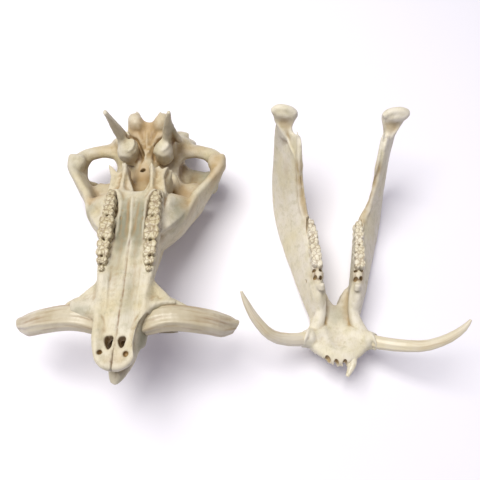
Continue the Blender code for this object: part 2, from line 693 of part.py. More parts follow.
def lower_tusk(name, side, grow=0.0):
    sizes = [(7.6, 7.0), (7.8, 7.2), (7.0, 6.4), (6.2, 5.6), (5.2, 4.6), (3.6, 3.2), (1.2, 1.2)]
    sizes = [(a + grow, b + grow) for a, b in sizes]
    return tube(name, lower_tusk_path(side), sizes, sides=10, steps=2)


def incisor(name, grow=0.0):
    """The one lower incisor left, lying forward out of its socket."""
    return tube(name, [(11.0, 22.0, 37.5), (12.2, 10.0, 40.5), (10.4, -2.0, 42.6), (6.3, -13.0, 43.8)],
                [(3.0 + grow, 3.0 + grow), (3.4 + grow, 3.2 + grow), (3.3 + grow, 2.8 + grow),
                 (2.2 + grow, 1.4 + grow)], flat=(1.0, 0.0, 0.0), sides=8, steps=2)


def half_mandible_parts(side):
    rows = [                   # y, base z, top z, middle at base and top, half-width at base and top
        (62.0, 6.0, 40.0, 20.0, 20.0, 9.0, 7.0),
        (78.0, 4.0, 56.0, 26.0, 23.0, 10.0, 5.5),
        (95.0, 3.0, 62.0, 32.0, 23.5, 11.5, 7.0),
        (112.0, 2.5, 62.5, 37.0, 24.5, 12.5, 8.0),
        (130.0, 1.5, 61.5, 43.0, 25.5, 12.5, 8.5),
        (150.0, 0.6, 60.5, 50.0, 27.0, 12.0, 9.0),
        (170.0, 0.0, 60.5, 57.0, 30.0, 11.0, 8.5),
        (188.0, -0.4, 65.0, 62.5, 36.0, 10.0, 7.5),
        (205.0, -0.4, 77.0, 67.5, 41.5, 8.0, 5.0),
        (220.0, 0.0, 92.0, 70.5, 45.5, 7.0, 4.4),
        (235.0, 3.0, 110.0, 72.5, 48.0, 6.5, 4.0),
        (249.0, 10.0, 127.0, 74.0, 50.5, 6.0, 3.8),
        (259.0, 19.0, 130.0, 75.0, 52.5, 5.6, 3.8),
        (272.0, 36.0, 117.0, 75.0, 59.0, 5.4, 4.6),
        (284.0, 66.0, 124.0, 74.0, 65.0, 5.6, 7.0),
        (292.0, 96.0, 130.0, 72.0, 68.0, 6.0, 8.5),
    ]
    placed = []
    for y, z_low, z_high, x_low, x_high, half_low, half_high in rows:
        lean = RAMUS_LEAN if 200.0 < y < 280.0 else 0.0
        placed.append((y, z_low, z_high, side * x_low, side * x_high + lean, half_low, half_high))
    body = slices("jaw body", placed, power=2.7, belly=1.2)
    neck = tube("condyle neck", [(side * 66.0, 272.0, 104.0), (side * 66.5, 281.0, 116.0), (side * 67.5, 289.0, 127.0)],
                [(5.0, 5.5), (6.0, 10.0), (7.0, 15.0)])
    condyle = ellipsoid("jaw condyle", (side * 69.0 + 1.5, 292.0, 131.5), (18.5, 11.0, 8.0),
                        (0.0, -10.0 * side, 4.0 * side))
    socket = tube("tusk socket", [(side * x, y, z) for x, y, z in ((14, 40, 30), (30, 34, 34), (44, 29, 40.5))],
                  [(13.0, 12.0), (11.6, 11.0), (9.4, 9.0)])
    return [body, neck, condyle, socket]


def chin_parts():
    rows = [
        (0.5, 38.0, 46.5, 0, 0, 9.0, 9.0),
        (5.0, 34.0, 47.0, 0, 0, 17.5, 17.5),
        (13.0, 27.0, 47.0, 0, 0, 26.0, 27.0),
        (22.0, 22.0, 46.0, 0, 0, 33.0, 36.0),
        (34.0, 15.0, 42.0, 0, 0, 33.0, 38.0),
        (48.0, 7.5, 36.0, 0, 0, 30.0, 33.0),
        (62.0, 1.5, 33.0, 0, 0, 29.0, 31.0),
        (74.0, -0.4, 31.0, 0, 0, 29.0, 30.0),
        (86.0, 2.0, 29.0, 0, 0, 28.0, 28.0),
        (100.0, 6.0, 32.0, 0, 0, 26.0, 26.0),
    ]
    return [slices("chin", rows, power=3.0)]


def chin_hollows():
    dish = ellipsoid("tongue groove", (0.0, 46.0, 56.0), (20.0, 44.0, 21.0), (-12.0, 0.0, 0.0))
    throat = slices("throat", [
        (76.0, -5.0, 60.0, 0, 0, 1.0, 1.0),
        (86.0, -5.0, 60.0, 0, 0, 7.5, 6.5),
        (101.0, -5.0, 70.0, 0, 0, 14.5, 12.8),
        (120.0, -5.0, 70.0, 0, 0, 17.0, 13.0)], power=2.4)
    holes = [ellipsoid("incisor socket", (x, y, 41.0), (3.2, 8.0, 3.4))
             for x, y in ((-13.0, 6.0), (-4.5, 1.5), (4.5, 1.5))]
    return [dish, throat] + holes


def mandible_region(grow):
    return box("left half", (-200.0, -60.0, -60.0), (-0.5 * GAP + grow, 400.0, 220.0))


def build_mandible():
    rng = random.Random(SEED + 1)
    whole = joined("mandible", half_mandible_parts(-1) + half_mandible_parts(1) + chin_parts())
    grown_together(whole, rounds=3)
    thin_to(whole, 30000)
    boolean(whole, "DIFFERENCE", chin_hollows())
    keep_largest(whole)
    grown_together(whole, rounds=2)
    thin_to(whole, MANDIBLE_TRIANGLES)
    sockets = [lower_tusk("socket", side, GAP) for side in (-1, 1)] + [incisor("incisor socket", GAP)]
    boolean(whole, "DIFFERENCE", sockets)
    keep_largest(whole)
    right = parted(whole, "mandible_right", mandible_region)
    whole.name = "mandible_left"
    for obj, side in ((right, -1), (whole, 1)):
        row = tooth_row(rng, LOWER_ROW_X, LOWER_TEETH, LOWER_ROOT, 0.075)
        if side < 0:
            twins = [mirrored(column) for column in row]
            remove(row)
            row = twins
        boolean(obj, "UNION", row)
        keep_largest(obj)
        set_down([obj], MANDIBLE_POSE)
        cut_floor(obj)
        finish_bone(obj, BONE_PALE, 0.6)
    for side, word in ((-1, "right"), (1, "left")):
        tusk = lower_tusk(f"lower_tusk_{word}", side)
        set_down([tusk], MANDIBLE_POSE)
        finish_bone(tusk, IVORY, 0.36)
    tooth = incisor("lower_incisor")
    set_down([tooth], MANDIBLE_POSE)
    finish_bone(tooth, IVORY, 0.4)


def centre_on_origin():
    """Brings the middle of the whole over the origin; the floor is at z = 0 already."""
    corners = [vert.co for obj in bpy.data.objects for vert in obj.data.vertices]
    low = [min(co[i] for co in corners) for i in (0, 1)]
    high = [max(co[i] for co in corners) for i in (0, 1)]
    shift = Vector((-0.5 * (low[0] + high[0]), -0.5 * (low[1] + high[1]), 0.0))
    for obj in bpy.data.objects:
        obj.data.transform(Matrix.Translation(shift))


def main():
    clear_scene()
    build_cranium()
    build_mandible()
    centre_on_origin()


main()
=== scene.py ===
# %% [markdown]
# # A warthog skull in two bones
# The skull of a young adult warthog lies as in a museum tray: the cranium on its crown with the palate up,
# and the mandible beside it with its teeth up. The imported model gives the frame, and this lesson dresses it
# in real bone: grown surfaces, sutures, holes for nerves, cusped teeth and grooved ivory.
#
# The frame comes first, with the size that the finished skull has to keep.

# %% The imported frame
import math
import random

import bmesh
import bpy
import numpy as np
from mathutils import Matrix, Vector, kdtree, noise
from mathutils.bvhtree import BVHTree


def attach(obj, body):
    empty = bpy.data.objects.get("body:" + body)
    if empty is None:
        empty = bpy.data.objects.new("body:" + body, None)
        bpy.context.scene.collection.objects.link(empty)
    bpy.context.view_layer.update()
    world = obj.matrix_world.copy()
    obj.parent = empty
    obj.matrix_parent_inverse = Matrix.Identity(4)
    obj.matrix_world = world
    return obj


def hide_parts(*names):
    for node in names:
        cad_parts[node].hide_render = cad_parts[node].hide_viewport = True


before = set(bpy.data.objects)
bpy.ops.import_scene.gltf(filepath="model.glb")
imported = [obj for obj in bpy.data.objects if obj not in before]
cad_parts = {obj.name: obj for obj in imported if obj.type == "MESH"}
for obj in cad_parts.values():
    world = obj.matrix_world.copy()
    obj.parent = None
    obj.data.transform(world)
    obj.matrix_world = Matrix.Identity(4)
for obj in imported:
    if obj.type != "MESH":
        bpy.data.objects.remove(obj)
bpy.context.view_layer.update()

print("frame nodes:", sorted(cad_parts))

# %% [markdown]
# ## Two bones, each in a frame of its own
# An anatomist measures a skull from its own landmarks, not from the table it lies on. Each bone is therefore
# shaped in millimetres in its own frame: x across, y back from the snout or chin, z towards the palate or the
# teeth. Only when a piece is finished is it laid down in metres where the frame has it.

# %% Where each bone lies
MM = 0.001
CENTRE = Vector((-0.00036658, -0.00293214, 0.0))


def bone_pose(turn, tilt, roll, shift):
    """From the bone's own millimetres to metres on the floor."""
    matrix = Matrix.Translation(CENTRE) @ Matrix.Diagonal((MM, MM, MM, 1.0)) @ Matrix.Translation(shift)
    matrix @= Matrix.Rotation(math.radians(turn), 4, "Z")
    matrix @= Matrix.Rotation(math.radians(tilt), 4, "X")
    return matrix @ Matrix.Rotation(math.radians(roll), 4, "Y")


CRANIUM = bone_pose(-0.4, -2.0, -1.0, (-125.0, -178.5, 131.0))
MANDIBLE = bone_pose(-1.4, 0.0, 0.0, (115.4, -151.3, 0.0))
SIDES = (-1, 1)
chance = random.Random(23)
print("palate centre stands", round((CRANIUM @ Vector((0, 120, -5))).z * 1000), "mm above the floor")

# %% [markdown]
# ## Working by hand, in code
# Operators act on whatever is selected, so every step first clears the selection and picks its own object.
# Modifiers are applied at once, as a modeller does who wants to go on shaping the result.

# %% Selecting and applying


def select_only(*objs):
    if bpy.context.object and bpy.context.object.mode != "OBJECT":
        bpy.ops.object.mode_set(mode="OBJECT")
    bpy.ops.object.select_all(action="DESELECT")
    for obj in objs:
        obj.select_set(True)
    bpy.context.view_layer.objects.active = objs[-1]


def apply_modifier(obj, kind, **settings):
    select_only(obj)
    modifier = obj.modifiers.new(kind.lower(), kind)
    for key, value in settings.items():
        setattr(modifier, key, value)
    bpy.ops.object.modifier_apply(modifier=modifier.name)


def join(name, objs):
    select_only(*objs)
    bpy.ops.object.join()
    obj = bpy.context.object
    obj.name = name
    obj.data.name = name
    return obj


def remesh(obj, voxel):
    apply_modifier(obj, "REMESH", mode="VOXEL", voxel_size=voxel)


def triangles(obj):
    obj.data.calc_loop_triangles()
    return len(obj.data.loop_triangles)


def placed(name, data):
    """A new object in the scene, with that mesh, curve, lamp or camera."""
    obj = bpy.data.objects.new(name, data)
    bpy.context.scene.collection.objects.link(obj)
    return obj


def mend(obj, merge=False, outward=False):
    """Merges doubled points, turns every face outward, or both."""
    select_only(obj)
    bpy.ops.object.mode_set(mode="EDIT")
    bpy.ops.mesh.select_all(action="SELECT")
    if merge:
        bpy.ops.mesh.remove_doubles(threshold=0.001)
    if outward:
        bpy.ops.mesh.normals_make_consistent(inside=False)
    bpy.ops.object.mode_set(mode="OBJECT")


# %% [markdown]
# ## Copies of the frame's bones
# The frame parts each bone with hair-thin cuts. The copies swell by a quarter of a millimetre, so that the
# cuts close, and a voxel remesh then grows them together into one skin.

# %% Copying frame nodes
SWELL = 0.25


def frame_copy(node, pose, swell=SWELL):
    """A copy of one frame node in its bone's millimetres, its loose triangles merged."""
    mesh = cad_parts[node].data.copy()
    mesh.materials.clear()
    mesh.transform(pose.inverted())
    twin = placed("copy_of_" + node, mesh)
    mend(twin, merge=True)
    if swell:
        apply_modifier(twin, "DISPLACE", strength=swell, mid_level=0.0)
    return twin


# %% [markdown]
# ## Shaping tools
# Forms are added as rounded lumps and as limbs, which are curves with an oval section, and holes are cut with
# the same shapes. After that a numpy copy of the points is moved as clay is: pressed in, raised along a line,
# scored with a groove and smoothed without losing volume.

# %% Lumps, slabs, limbs and bores


def lump(centre, radii, turn=(0, 0, 0)):
    """A rounded lump: a sphere with three radii, turned in degrees."""
    bpy.ops.object.select_all(action="DESELECT")
    bpy.ops.mesh.primitive_uv_sphere_add(segments=20, ring_count=12, radius=1.0, location=centre,
                                         rotation=[math.radians(a) for a in turn])
    obj = bpy.context.object
    obj.scale = radii
    bpy.ops.object.transform_apply()
    return obj


def slab(centre, size, turn=0.0):
    """A block to plane with, turned about the upright in degrees."""
    bpy.ops.object.select_all(action="DESELECT")
    bpy.ops.mesh.primitive_cube_add(size=1.0, location=centre, rotation=(0, 0, math.radians(turn)))
    obj = bpy.context.object
    obj.scale = size
    bpy.ops.object.transform_apply()
    return obj


def limb(points, sizes, wide=1.0, tall=1.0):
    """A smooth bar through the points with a size at each; wide is level, tall is upright."""
    curve = bpy.data.curves.new("limb", "CURVE")
    curve.dimensions = "3D"
    curve.twist_mode = "Z_UP"
    curve.resolution_u = 5
    spline = curve.splines.new("BEZIER")
    spline.bezier_points.add(len(points) - 1)
    for knot, point, size in zip(spline.bezier_points, points, sizes):
        knot.co = point
        knot.radius = size
        knot.handle_left_type = knot.handle_right_type = "AUTO"
    bpy.ops.object.select_all(action="DESELECT")
    bpy.ops.curve.primitive_bezier_circle_add(radius=1.0)
    section = bpy.context.object
    section.data.resolution_u = 4
    section.scale = (wide, tall, 1.0)
    bpy.ops.object.transform_apply(location=False)
    curve.bevel_mode = "OBJECT"
    curve.bevel_object = section
    curve.use_fill_caps = True
    obj = placed("limb", curve)
    select_only(obj)
    bpy.ops.object.convert(target="MESH")
    obj = bpy.context.object
    mend(obj, merge=True, outward=True)
    bpy.data.objects.remove(section)
    return obj


def flip(mesh):
    """Turns a mesh into its mirror image, right side out."""
    mesh.transform(Matrix.Diagonal((-1.0, 1.0, 1.0, 1.0)))
    mesh.flip_normals()


def mirrored(obj):
    """The other side's copy, with its own mesh."""
    twin = placed(obj.name + "_mirror", obj.data.copy())
    flip(twin.data)
    return twin


def both(*objs):
    return list(objs) + [mirrored(obj) for obj in objs]


def bore(obj, cutters):
    """Cuts all the cutters out of a closed mesh at once and removes them."""
    group = bpy.data.collections.new("cutters")
    bpy.context.scene.collection.children.link(group)
    for cutter in cutters:
        group.objects.link(cutter)
    apply_modifier(obj, "BOOLEAN", operation="DIFFERENCE", solver="MANIFOLD", operand_type="COLLECTION",
                   collection=group)
    for cutter in cutters:
        bpy.data.objects.remove(cutter)
    bpy.data.collections.remove(group)


def keep_largest(obj):
    """Drops loose crumbs, so that one closed surface is left."""
    bm = bmesh.new()
    bm.from_mesh(obj.data)
    bm.verts.ensure_lookup_table()
    mark = [-1] * len(bm.verts)
    shells = []
    for start in bm.verts:
        if mark[start.index] >= 0:
            continue
        mark[start.index] = len(shells)
        stack, count = [start], 0
        while stack:
            count += 1
            for edge in stack.pop().link_edges:
                for vert in edge.verts:
                    if mark[vert.index] < 0:
                        mark[vert.index] = len(shells)
                        stack.append(vert)
        shells.append(count)
    largest = shells.index(max(shells))
    extra = [vert for vert in bm.verts if mark[vert.index] != largest]
    bmesh.ops.delete(bm, geom=extra, context="VERTS")
    bm.to_mesh(obj.data)
    bm.free()
    return len(shells) - 1


# %% Clay


def reach(points, path):
    """How far each point is from a line of points, and how far along it from 0 to 1."""
    path = np.asarray(path, float)
    steps = np.linalg.norm(np.diff(path, axis=0), axis=1)
    before = np.concatenate([[0.0], np.cumsum(steps)])
    best = np.full(len(points), 1e9)
    along = np.zeros(len(points))
    for i in range(len(steps)):
        a, d = path[i], path[i + 1] - path[i]
        t = np.clip((points - a) @ d / max(d @ d, 1e-9), 0.0, 1.0)
        gap = np.linalg.norm(points - a - t[:, None] * d, axis=1)
        near = gap < best
        best[near] = gap[near]
        along[near] = before[i] + t[near] * steps[i]
    return best, along / before[-1]


def bent(points, steps=8):
    """More points along a smooth curve through the given ones."""
    path = [Vector(p) for p in points]
    if len(path) < 3:
        return [path[0].lerp(path[-1], i / steps) for i in range(steps + 1)]
    ends = [path[0] * 2 - path[1]] + path + [path[-1] * 2 - path[-2]]
    out = []
    for a, b, c, d in zip(ends, ends[1:], ends[2:], ends[3:]):
        for s in range(steps):
            t = s / steps
            out.append(0.5 * (2 * b + (c - a) * t + (2 * a - 5 * b + 4 * c - d) * t ** 2
                              + (3 * b - a - 3 * c + d) * t ** 3))
    out.append(path[-1])
    return out


def wavy(points, amount, pitch, seed, steps=8):
    """A bent line that wanders a little from side to side, as sutures do."""
    draw = random.Random(seed)
    out = []
    for i, point in enumerate(bent(points, steps)):
        phase = i / pitch
        sway = amount * (math.sin(2.1 * phase + seed) + 0.6 * math.sin(5.3 * phase) + 0.5 * draw.uniform(-1, 1))
        out.append(point + Vector((sway, 0.4 * sway, 0.0)))
    return out


def sided(side, points, z=None):
    """A bent line on one side, through (x, y, z) points or through (x, y) points at one height."""
    return bent([(side * p[0], p[1], p[2] if z is None else z) for p in points])


def unit(values):
    """The values, held between 0 and 1."""
    return np.clip(values, 0, 1)


class Clay:
    """The points of a mesh as arrays, in mm of its bone's frame."""

    def __init__(self, obj):
        self.obj = obj
        mesh = obj.data
        self.count = len(mesh.vertices)
        self.co = np.empty(self.count * 3)
        mesh.vertices.foreach_get("co", self.co)
        self.co = self.co.reshape(-1, 3)
        edges = np.empty(len(mesh.edges) * 2, int)
        mesh.edges.foreach_get("vertices", edges)
        self.a, self.b = edges.reshape(-1, 2).T
        self.degree = np.maximum(np.bincount(self.a, minlength=self.count)
                                 + np.bincount(self.b, minlength=self.count), 1)
        self.refresh()

    def write(self):
        self.obj.data.vertices.foreach_set("co", self.co.ravel())
        self.obj.data.update()

    def refresh(self):
        """Writes the points back and reads the new normals."""
        self.write()
        self.no = np.empty(self.count * 3)
        self.obj.data.vertices.foreach_get("normal", self.no)
        self.no = self.no.reshape(-1, 3)

    def mean(self, values):
        """The mean of each point's neighbours."""
        if values.ndim == 1:
            total = np.bincount(self.a, values[self.b], self.count)
            total += np.bincount(self.b, values[self.a], self.count)
            return total / self.degree
        return np.stack([self.mean(column) for column in values.T], axis=1)

    def blur(self, values, rounds):
        for _ in range(rounds):
            values = 0.5 * values + 0.5 * self.mean(values)
        return values

    def melt(self, rounds, where=None):
        """Smooths away facets and keeps the volume, by a pull and then a push."""
        weight = 1.0 if where is None else where[:, None]
        for _ in range(rounds):
            for factor in (0.5, -0.53):
                self.co += factor * weight * (self.mean(self.co) - self.co)
        self.refresh()

    def soften(self, rounds, where=None):
        weight = 1.0 if where is None else where[:, None]
        for _ in range(rounds):
            self.co += 0.5 * weight * (self.mean(self.co) - self.co)
        self.refresh()

    def near(self, path, width, up=None):
        """1 on a line, falling to 0 at about twice its width. up keeps it to faces that look that way."""
        points = np.array([tuple(p) for p in path], float)
        low, high = points.min(0) - 3 * width, points.max(0) + 3 * width
        inside = np.all((self.co > low) & (self.co < high), axis=1)
        out = np.zeros(self.count)
        if not inside.any():
            return out, out
        gap, along = reach(self.co[inside], points)
        out[inside] = np.exp(-(gap / width) ** 2)
        spot = np.zeros(self.count)
        spot[inside] = along
        if up is not None:
            out *= unit(2.5 * (self.no @ np.array(up, float)) + 0.3)
        return out, spot

    def line(self, path, width, height, up=None, ends=0.12):
        """Raises a ridge along a line, or scores a groove where the height is negative."""
        mask, spot = self.near(path, width, up)
        fade = unit(np.minimum(spot, 1 - spot) / ends)
        self.co += (mask * fade * height)[:, None] * self.no

    def ball(self, centre, radii):
        """1 at a centre, falling off over three radii."""
        gap = np.linalg.norm((self.co - np.array(centre, float)) / np.array(radii, float), axis=1)
        return np.exp(-gap ** 2)

    def balls(self, *spots):
        """The same for several spots at once, each a centre and its radii."""
        return unit(sum(self.ball(centre, radii) for centre, radii in spots))

    def press(self, centre, radii, depth, way=None):
        """Presses a dent, or lifts a swelling where the depth is negative."""
        direction = self.no if way is None else np.array(way, float)
        self.co -= (self.ball(centre, radii) * depth)[:, None] * direction

    def crumple(self, size, height, where=None, seed=0.0):
        """Random hills and hollows of one size over the surface."""
        lift = noise_at(self.co, size, seed) * height
        if where is not None:
            lift *= where
        self.co += lift[:, None] * self.no

    def hollows(self, rounds):
        """How far the surface lies below its smoothed self, in mm: above 0 in hollows, below on edges."""
        smooth = self.co.copy()
        for _ in range(rounds):
            smooth += 0.6 * (self.mean(smooth) - smooth)
        return np.einsum("ij,ij->i", smooth - self.co, self.no)


def noise_at(points, size, seed=0.0):
    """Smooth noise from -1 to 1 at each point, with hills about that size across."""
    shift = Vector((seed, 1.7 * seed, -2.3 * seed))
    return np.array([noise.noise(Vector(p) / size + shift) for p in points])


# %% [markdown]
# ## The cranium
# Its copy in the frame has the true outline, but bone has more to show. The facets are melted away first, and
# the coarse teeth are planed off, because finer ones stand in their place. Then come the forms that a finger
# would feel: facets on the two bullae of the ear, the plates and hooks of the pterygoids, the sloping plates
# between teeth and cheeks, the condyles, the roots of the spikes behind the ears and the ragged lips of bone
# round the tusks.

# %% Cranium: one skin from the frame's parts
CRANIUM_NODES = ["braincase", "maxilla_with_upper_teeth", "premaxilla", "nasal_bones",
                 "zygomatic_arch_left", "zygomatic_arch_right",
                 "paroccipital_process_left", "paroccipital_process_right"]
GRAIN = 1.45
PALATE = -5.0

cranium = join("cranium", [frame_copy(node, CRANIUM) for node in CRANIUM_NODES])
planes = [slab((side * 26.0, 160.0, 9.5), (24.0, 112.0, 27.0)) for side in SIDES]
plugs = [lump((x, y, -9.0), (5.5, 7.5, 5.5)) for x, y in ((-8.2, 29.5), (4.6, 29.5), (-14.6, 18.5), (11.0, 18.5))]
cranium = join("cranium", [cranium] + plugs)
remesh(cranium, GRAIN)
bore(cranium, planes)
remesh(cranium, GRAIN)
clay = Clay(cranium)
clay.melt(22)
print("cranium after melting:", triangles(cranium), "triangles")

# %% Cranium: plates and lumps to add


def grown(outline, factor):
    """The same outline in x and y, scaled about its middle."""
    middle = [sum(p[i] for p in outline) / len(outline) for i in (0, 1)]
    return [(middle[0] + factor * (x - middle[0]), middle[1] + factor * (y - middle[1])) for x, y, *_ in outline]


def prism(outline, low, high, spread=1.0):
    """A short upright prism on an outline of (x, y) or (x, y, height) points; spread widens its lower end."""
    count = len(outline)
    verts = [(x, y, low) for x, y in grown(outline, spread)]
    verts += [tuple(p) if len(p) == 3 else (p[0], p[1], high) for p in outline]
    faces = [tuple(range(count))[::-1], tuple(range(count, 2 * count))]
    faces += [(i, (i + 1) % count, (i + 1) % count + count, i + count) for i in range(count)]
    mesh = bpy.data.meshes.new("prism")
    mesh.from_pydata(verts, [], faces)
    obj = placed("prism", mesh)
    mend(obj, outward=True)
    return obj


# %% Cranium: forms round the bullae, the palate and the tusks
PTERYGOIDS = [[(3, 212), (4.6, 216.3), (10.1, 221.7), (13, 231.8), (14.0, 243), (11.0, 254), (13.6, 260.5), (16.5, 252),
               (19.0, 246), (20.5, 253.5), (24.0, 257), (26.0, 250.5), (30, 252.5), (35.5, 256), (32.5, 248), (31, 240),
               (33, 228), (36, 214), (20, 210)],
              [(-3, 214), (-4.7, 222.6), (-9.8, 234.7), (-12.1, 241.8), (-14.3, 251.3), (-18.2, 258), (-22.2, 261),
               (-21.2, 251), (-24, 245), (-28, 248), (-33, 254), (-38.7, 259), (-37.0, 250), (-33.5, 240), (-34, 228),
               (-36, 214), (-20, 210)]]
CHEEK_PLATE = [(32.0, 160, -12.0), (44.0, 172, -14.5), (54.0, 188, -22.0), (61.0, 203, -27.5), (67.0, 217, -33.5),
               (60.0, 225, -38.0), (48.0, 227, -36.0), (38.0, 224, -25.0), (33.0, 214, -14.0), (31.0, 190, -11.5)]
SKULL_BASE = [(-29.0, 330, -36.5), (-28.0, 342, -33.0), (-23.5, 353, -30.5), (-18.0, 362, -30.0), (-13.5, 358, -31.5),
              (-10.5, 346, -34.5), (0.0, 344, -36.0), (8.5, 346, -34.5), (11.0, 357, -31.5), (15.5, 362, -30.0),
              (20.5, 352, -30.5), (25.0, 340, -33.0), (26.0, 330, -36.5), (18.5, 320, -37.5), (8.5, 307, -37.5),
              (4.0, 296, -38.5), (-4.0, 296, -38.5), (-8.5, 307, -37.5), (-18.5, 320, -37.5)]
BULLAE = [((-20.5, 293.5), [(-13, 1.5), (-11, 8), (-4.6, 12), (7.4, 13), (12, 9), (13, 1.5), (11, -7), (4.6, -13),
                            (-3.7, -12), (-11, -7)]),
          ((24.8, 293.0), [(-9.3, 2.8), (-8.3, 8.3), (-3.7, 12.6), (1.9, 12), (7.4, 6.5), (11, 2.8), (9.3, -3.7),
                           (4.6, -9.3), (-0.9, -12.6), (-7.4, -9.3), (-10.5, -4.6)])]
COLLAR_PLATE = [(-54.5, 67.4), (-49.0, 61.5), (-45.6, 57.6), (-38.3, 57.2), (-29.8, 59.5), (-28, 66.8), (-32.5, 73.1),
                (-48.1, 74.4), (-56.1, 73.4)]
added = []
for (x, y), outline in BULLAE:
    facet = [(x + 0.72 * a, y + 0.72 * b, -19.0 + 0.12 * b + 0.1 * a) for a, b in outline]
    shoulder = [(x + 0.93 * a, y + 0.93 * b, -24.0 + 0.12 * b) for a, b in outline]
    added += [prism(facet, -34.0, 0.0, 1.3), prism(shoulder, -48.0, 0.0, 1.05)]
added += [prism(outline, -40.0, -12.5, 1.12) for outline in PTERYGOIDS]
for side in SIDES:
    added.append(prism([(side * x, y, z) for x, y, z in CHEEK_PLATE], -60.0, 0.0, 0.8))
added.append(prism(SKULL_BASE, -47.0, 0.0, 0.84))
CONDYLE = [(322, -45), (332, -40.5), (341, -37.5), (350, -35.5), (357, -34)]
for across in ((-20.5, -20.6, -20.4, -19.4, -18.5), (17.6, 17.8, 17.6, 16.0, 15.5)):
    added.append(limb([(x, y, z) for x, (y, z) in zip(across, CONDYLE)], [3.0, 6.4, 6.8, 5.0, 1.2]))
added.append(prism(COLLAR_PLATE, -22.0, -11.0))
added += [lump(place, (3.0, 2.6, 2.2)) for place in ((-52, 66, -14), (-46, 60, -12.5), (-40, 58.5, -12),
                                                     (-50, 71, -12.5), (-43, 66, -10.5), (-36, 64, -11))]
added += [lump((x, y, -37.0), (1.9, 2.8, 2.6)) for x, y in ((-5.2, 307.9), (-3.3, 297.4), (4.4, 303.6),
                                                            (3.6, 296.8), (8.9, 308.9))]
added += [
    limb([(-0.5, 286, -38), (0.3, 300, -36.5), (-0.4, 314, -35.2), (-1.5, 330, -35.5)], [1.2, 1.5, 1.6, 0.8]),
    limb([(-29.5, 309, -20), (-32, 305, 2), (-35.5, 303, 18), (-39.0, 302, 32)], [6.0, 5.6, 5.0, 4.4], 1.0, 0.6),
    limb([(29.5, 309, -20), (31, 305, 2), (34.5, 303, 18), (37.6, 302, 31)], [6.0, 5.0, 3.8, 2.6], 1.1, 0.45),
    limb([(42, 311, -30), (38.5, 308, -12), (37.0, 305, 4), (37.0, 303, 16)], [9.5, 6.4, 4.4, 2.0], 1.0, 0.5),
    limb([(-42, 81, -16), (-52, 79.5, -18), (-60, 77.5, -21), (-67, 75, -24)], [4.4, 3.6, 2.8, 1.2]),
    limb([(42, 81, -16), (54, 78.5, -18), (64, 75.5, -21.5), (74, 72.5, -26)], [4.2, 3.4, 2.6, 1.2]),
    limb([(-62, 52, -30), (-60, 55, -23), (-58, 62, -17), (-60, 70, -16)], [3.2, 3.0, 2.6, 2.0]),
    limb([(27, 55, -26), (34, 53, -27), (46, 51.5, -31), (58, 51, -35)], [6.0, 5.0, 3.4, 1.4])]
for path, sizes, wide, tall in (
        ([(27, 308, -16), (28, 303.5, -4), (31, 301.8, 8), (35, 301.5, 20)], [3.4, 3.0, 2.4, 1.0], 0.5, 1.1),
        ([(30, 308, -30), (32.5, 317, -18), (34.5, 313, -4), (36, 306, 10)], [4.4, 4.4, 3.4, 1.8], 0.55, 1.0),
        ([(34, 338, -62), (40, 349, -68), (47, 355, -71)], [5.0, 4.0, 2.2], 1.0, 0.8)):
    added += both(limb(path, sizes, wide, tall))
cranium = join("cranium", [cranium] + added)
remesh(cranium, GRAIN)
clay = Clay(cranium)
clay.melt(4, clay.balls(((0, 334, -36), (40, 32, 18))))
clay.melt(2, clay.balls(((0, 240, -16), (44, 30, 14)), ((-44, 68, -16), (24, 18, 14))))

# %% [markdown]
# The holes come next. Nerves and vessels leave a skull through foramina, teeth stand in sockets, dark crevices
# part the bullae from the skull base, and the nose opens behind the palate. Each is bored with a lump, a limb
# or a short prism, by one Boolean for them all.

# %% Cranium: holes for nerves, teeth and the nose
INCISIVE = [[(-12.3, 34.2), (-11.0, 28.4), (-7.2, 21.8), (-5.4, 26.0), (-4.2, 35.2), (-6.4, 37.4), (-8.3, 35.6),
             (-10.4, 37.0)],
            [(1.4, 32.0), (4.2, 24.2), (6.8, 24.8), (9.0, 33.8), (7.2, 36.8), (5.0, 35.6), (2.8, 36.4)]]
TROUGH = {1: [(17.4, 148), (16.8, 160), (16.2, 172.5), (16.2, 187), (16.7, 197.4), (17.4, 205.3), (21.5, 211.8),
              (27.0, 217), (30.5, 212), (33.2, 204), (34.5, 192), (34.2, 176), (35.2, 165), (34.6, 148)],
          -1: [(-17.4, 148), (-17.3, 156), (-17.8, 165.8), (-19.4, 173.4), (-17.2, 184.4), (-18.2, 195.7),
               (-20.0, 203.4), (-23.2, 210.8), (-28.4, 216), (-31.5, 210), (-33.2, 200), (-34.5, 186), (-34.6, 170),
               (-34.4, 148)]}
cuts = [prism(grown(outline, 1.14), -20.0, 4.0, 0.9) for outline in INCISIVE]
cuts += [prism(TROUGH[side], -10.5, 6.0, 0.96) for side in SIDES]
cuts += [
        lump((-15.4, 19.3, -5.0), (2.5, 2.7, 5.5), (20, -14, 0)),
        lump((10.8, 17.8, -5.0), (3.2, 3.2, 5.5), (20, 14, 0)),
        lump((-2.0, 268.0, -46.0), (4.2, 3.8, 9.0), (-20, 0, 0)), lump((-5.0, 279.0, -58.0), (4.0, 5.0, 6.0))]
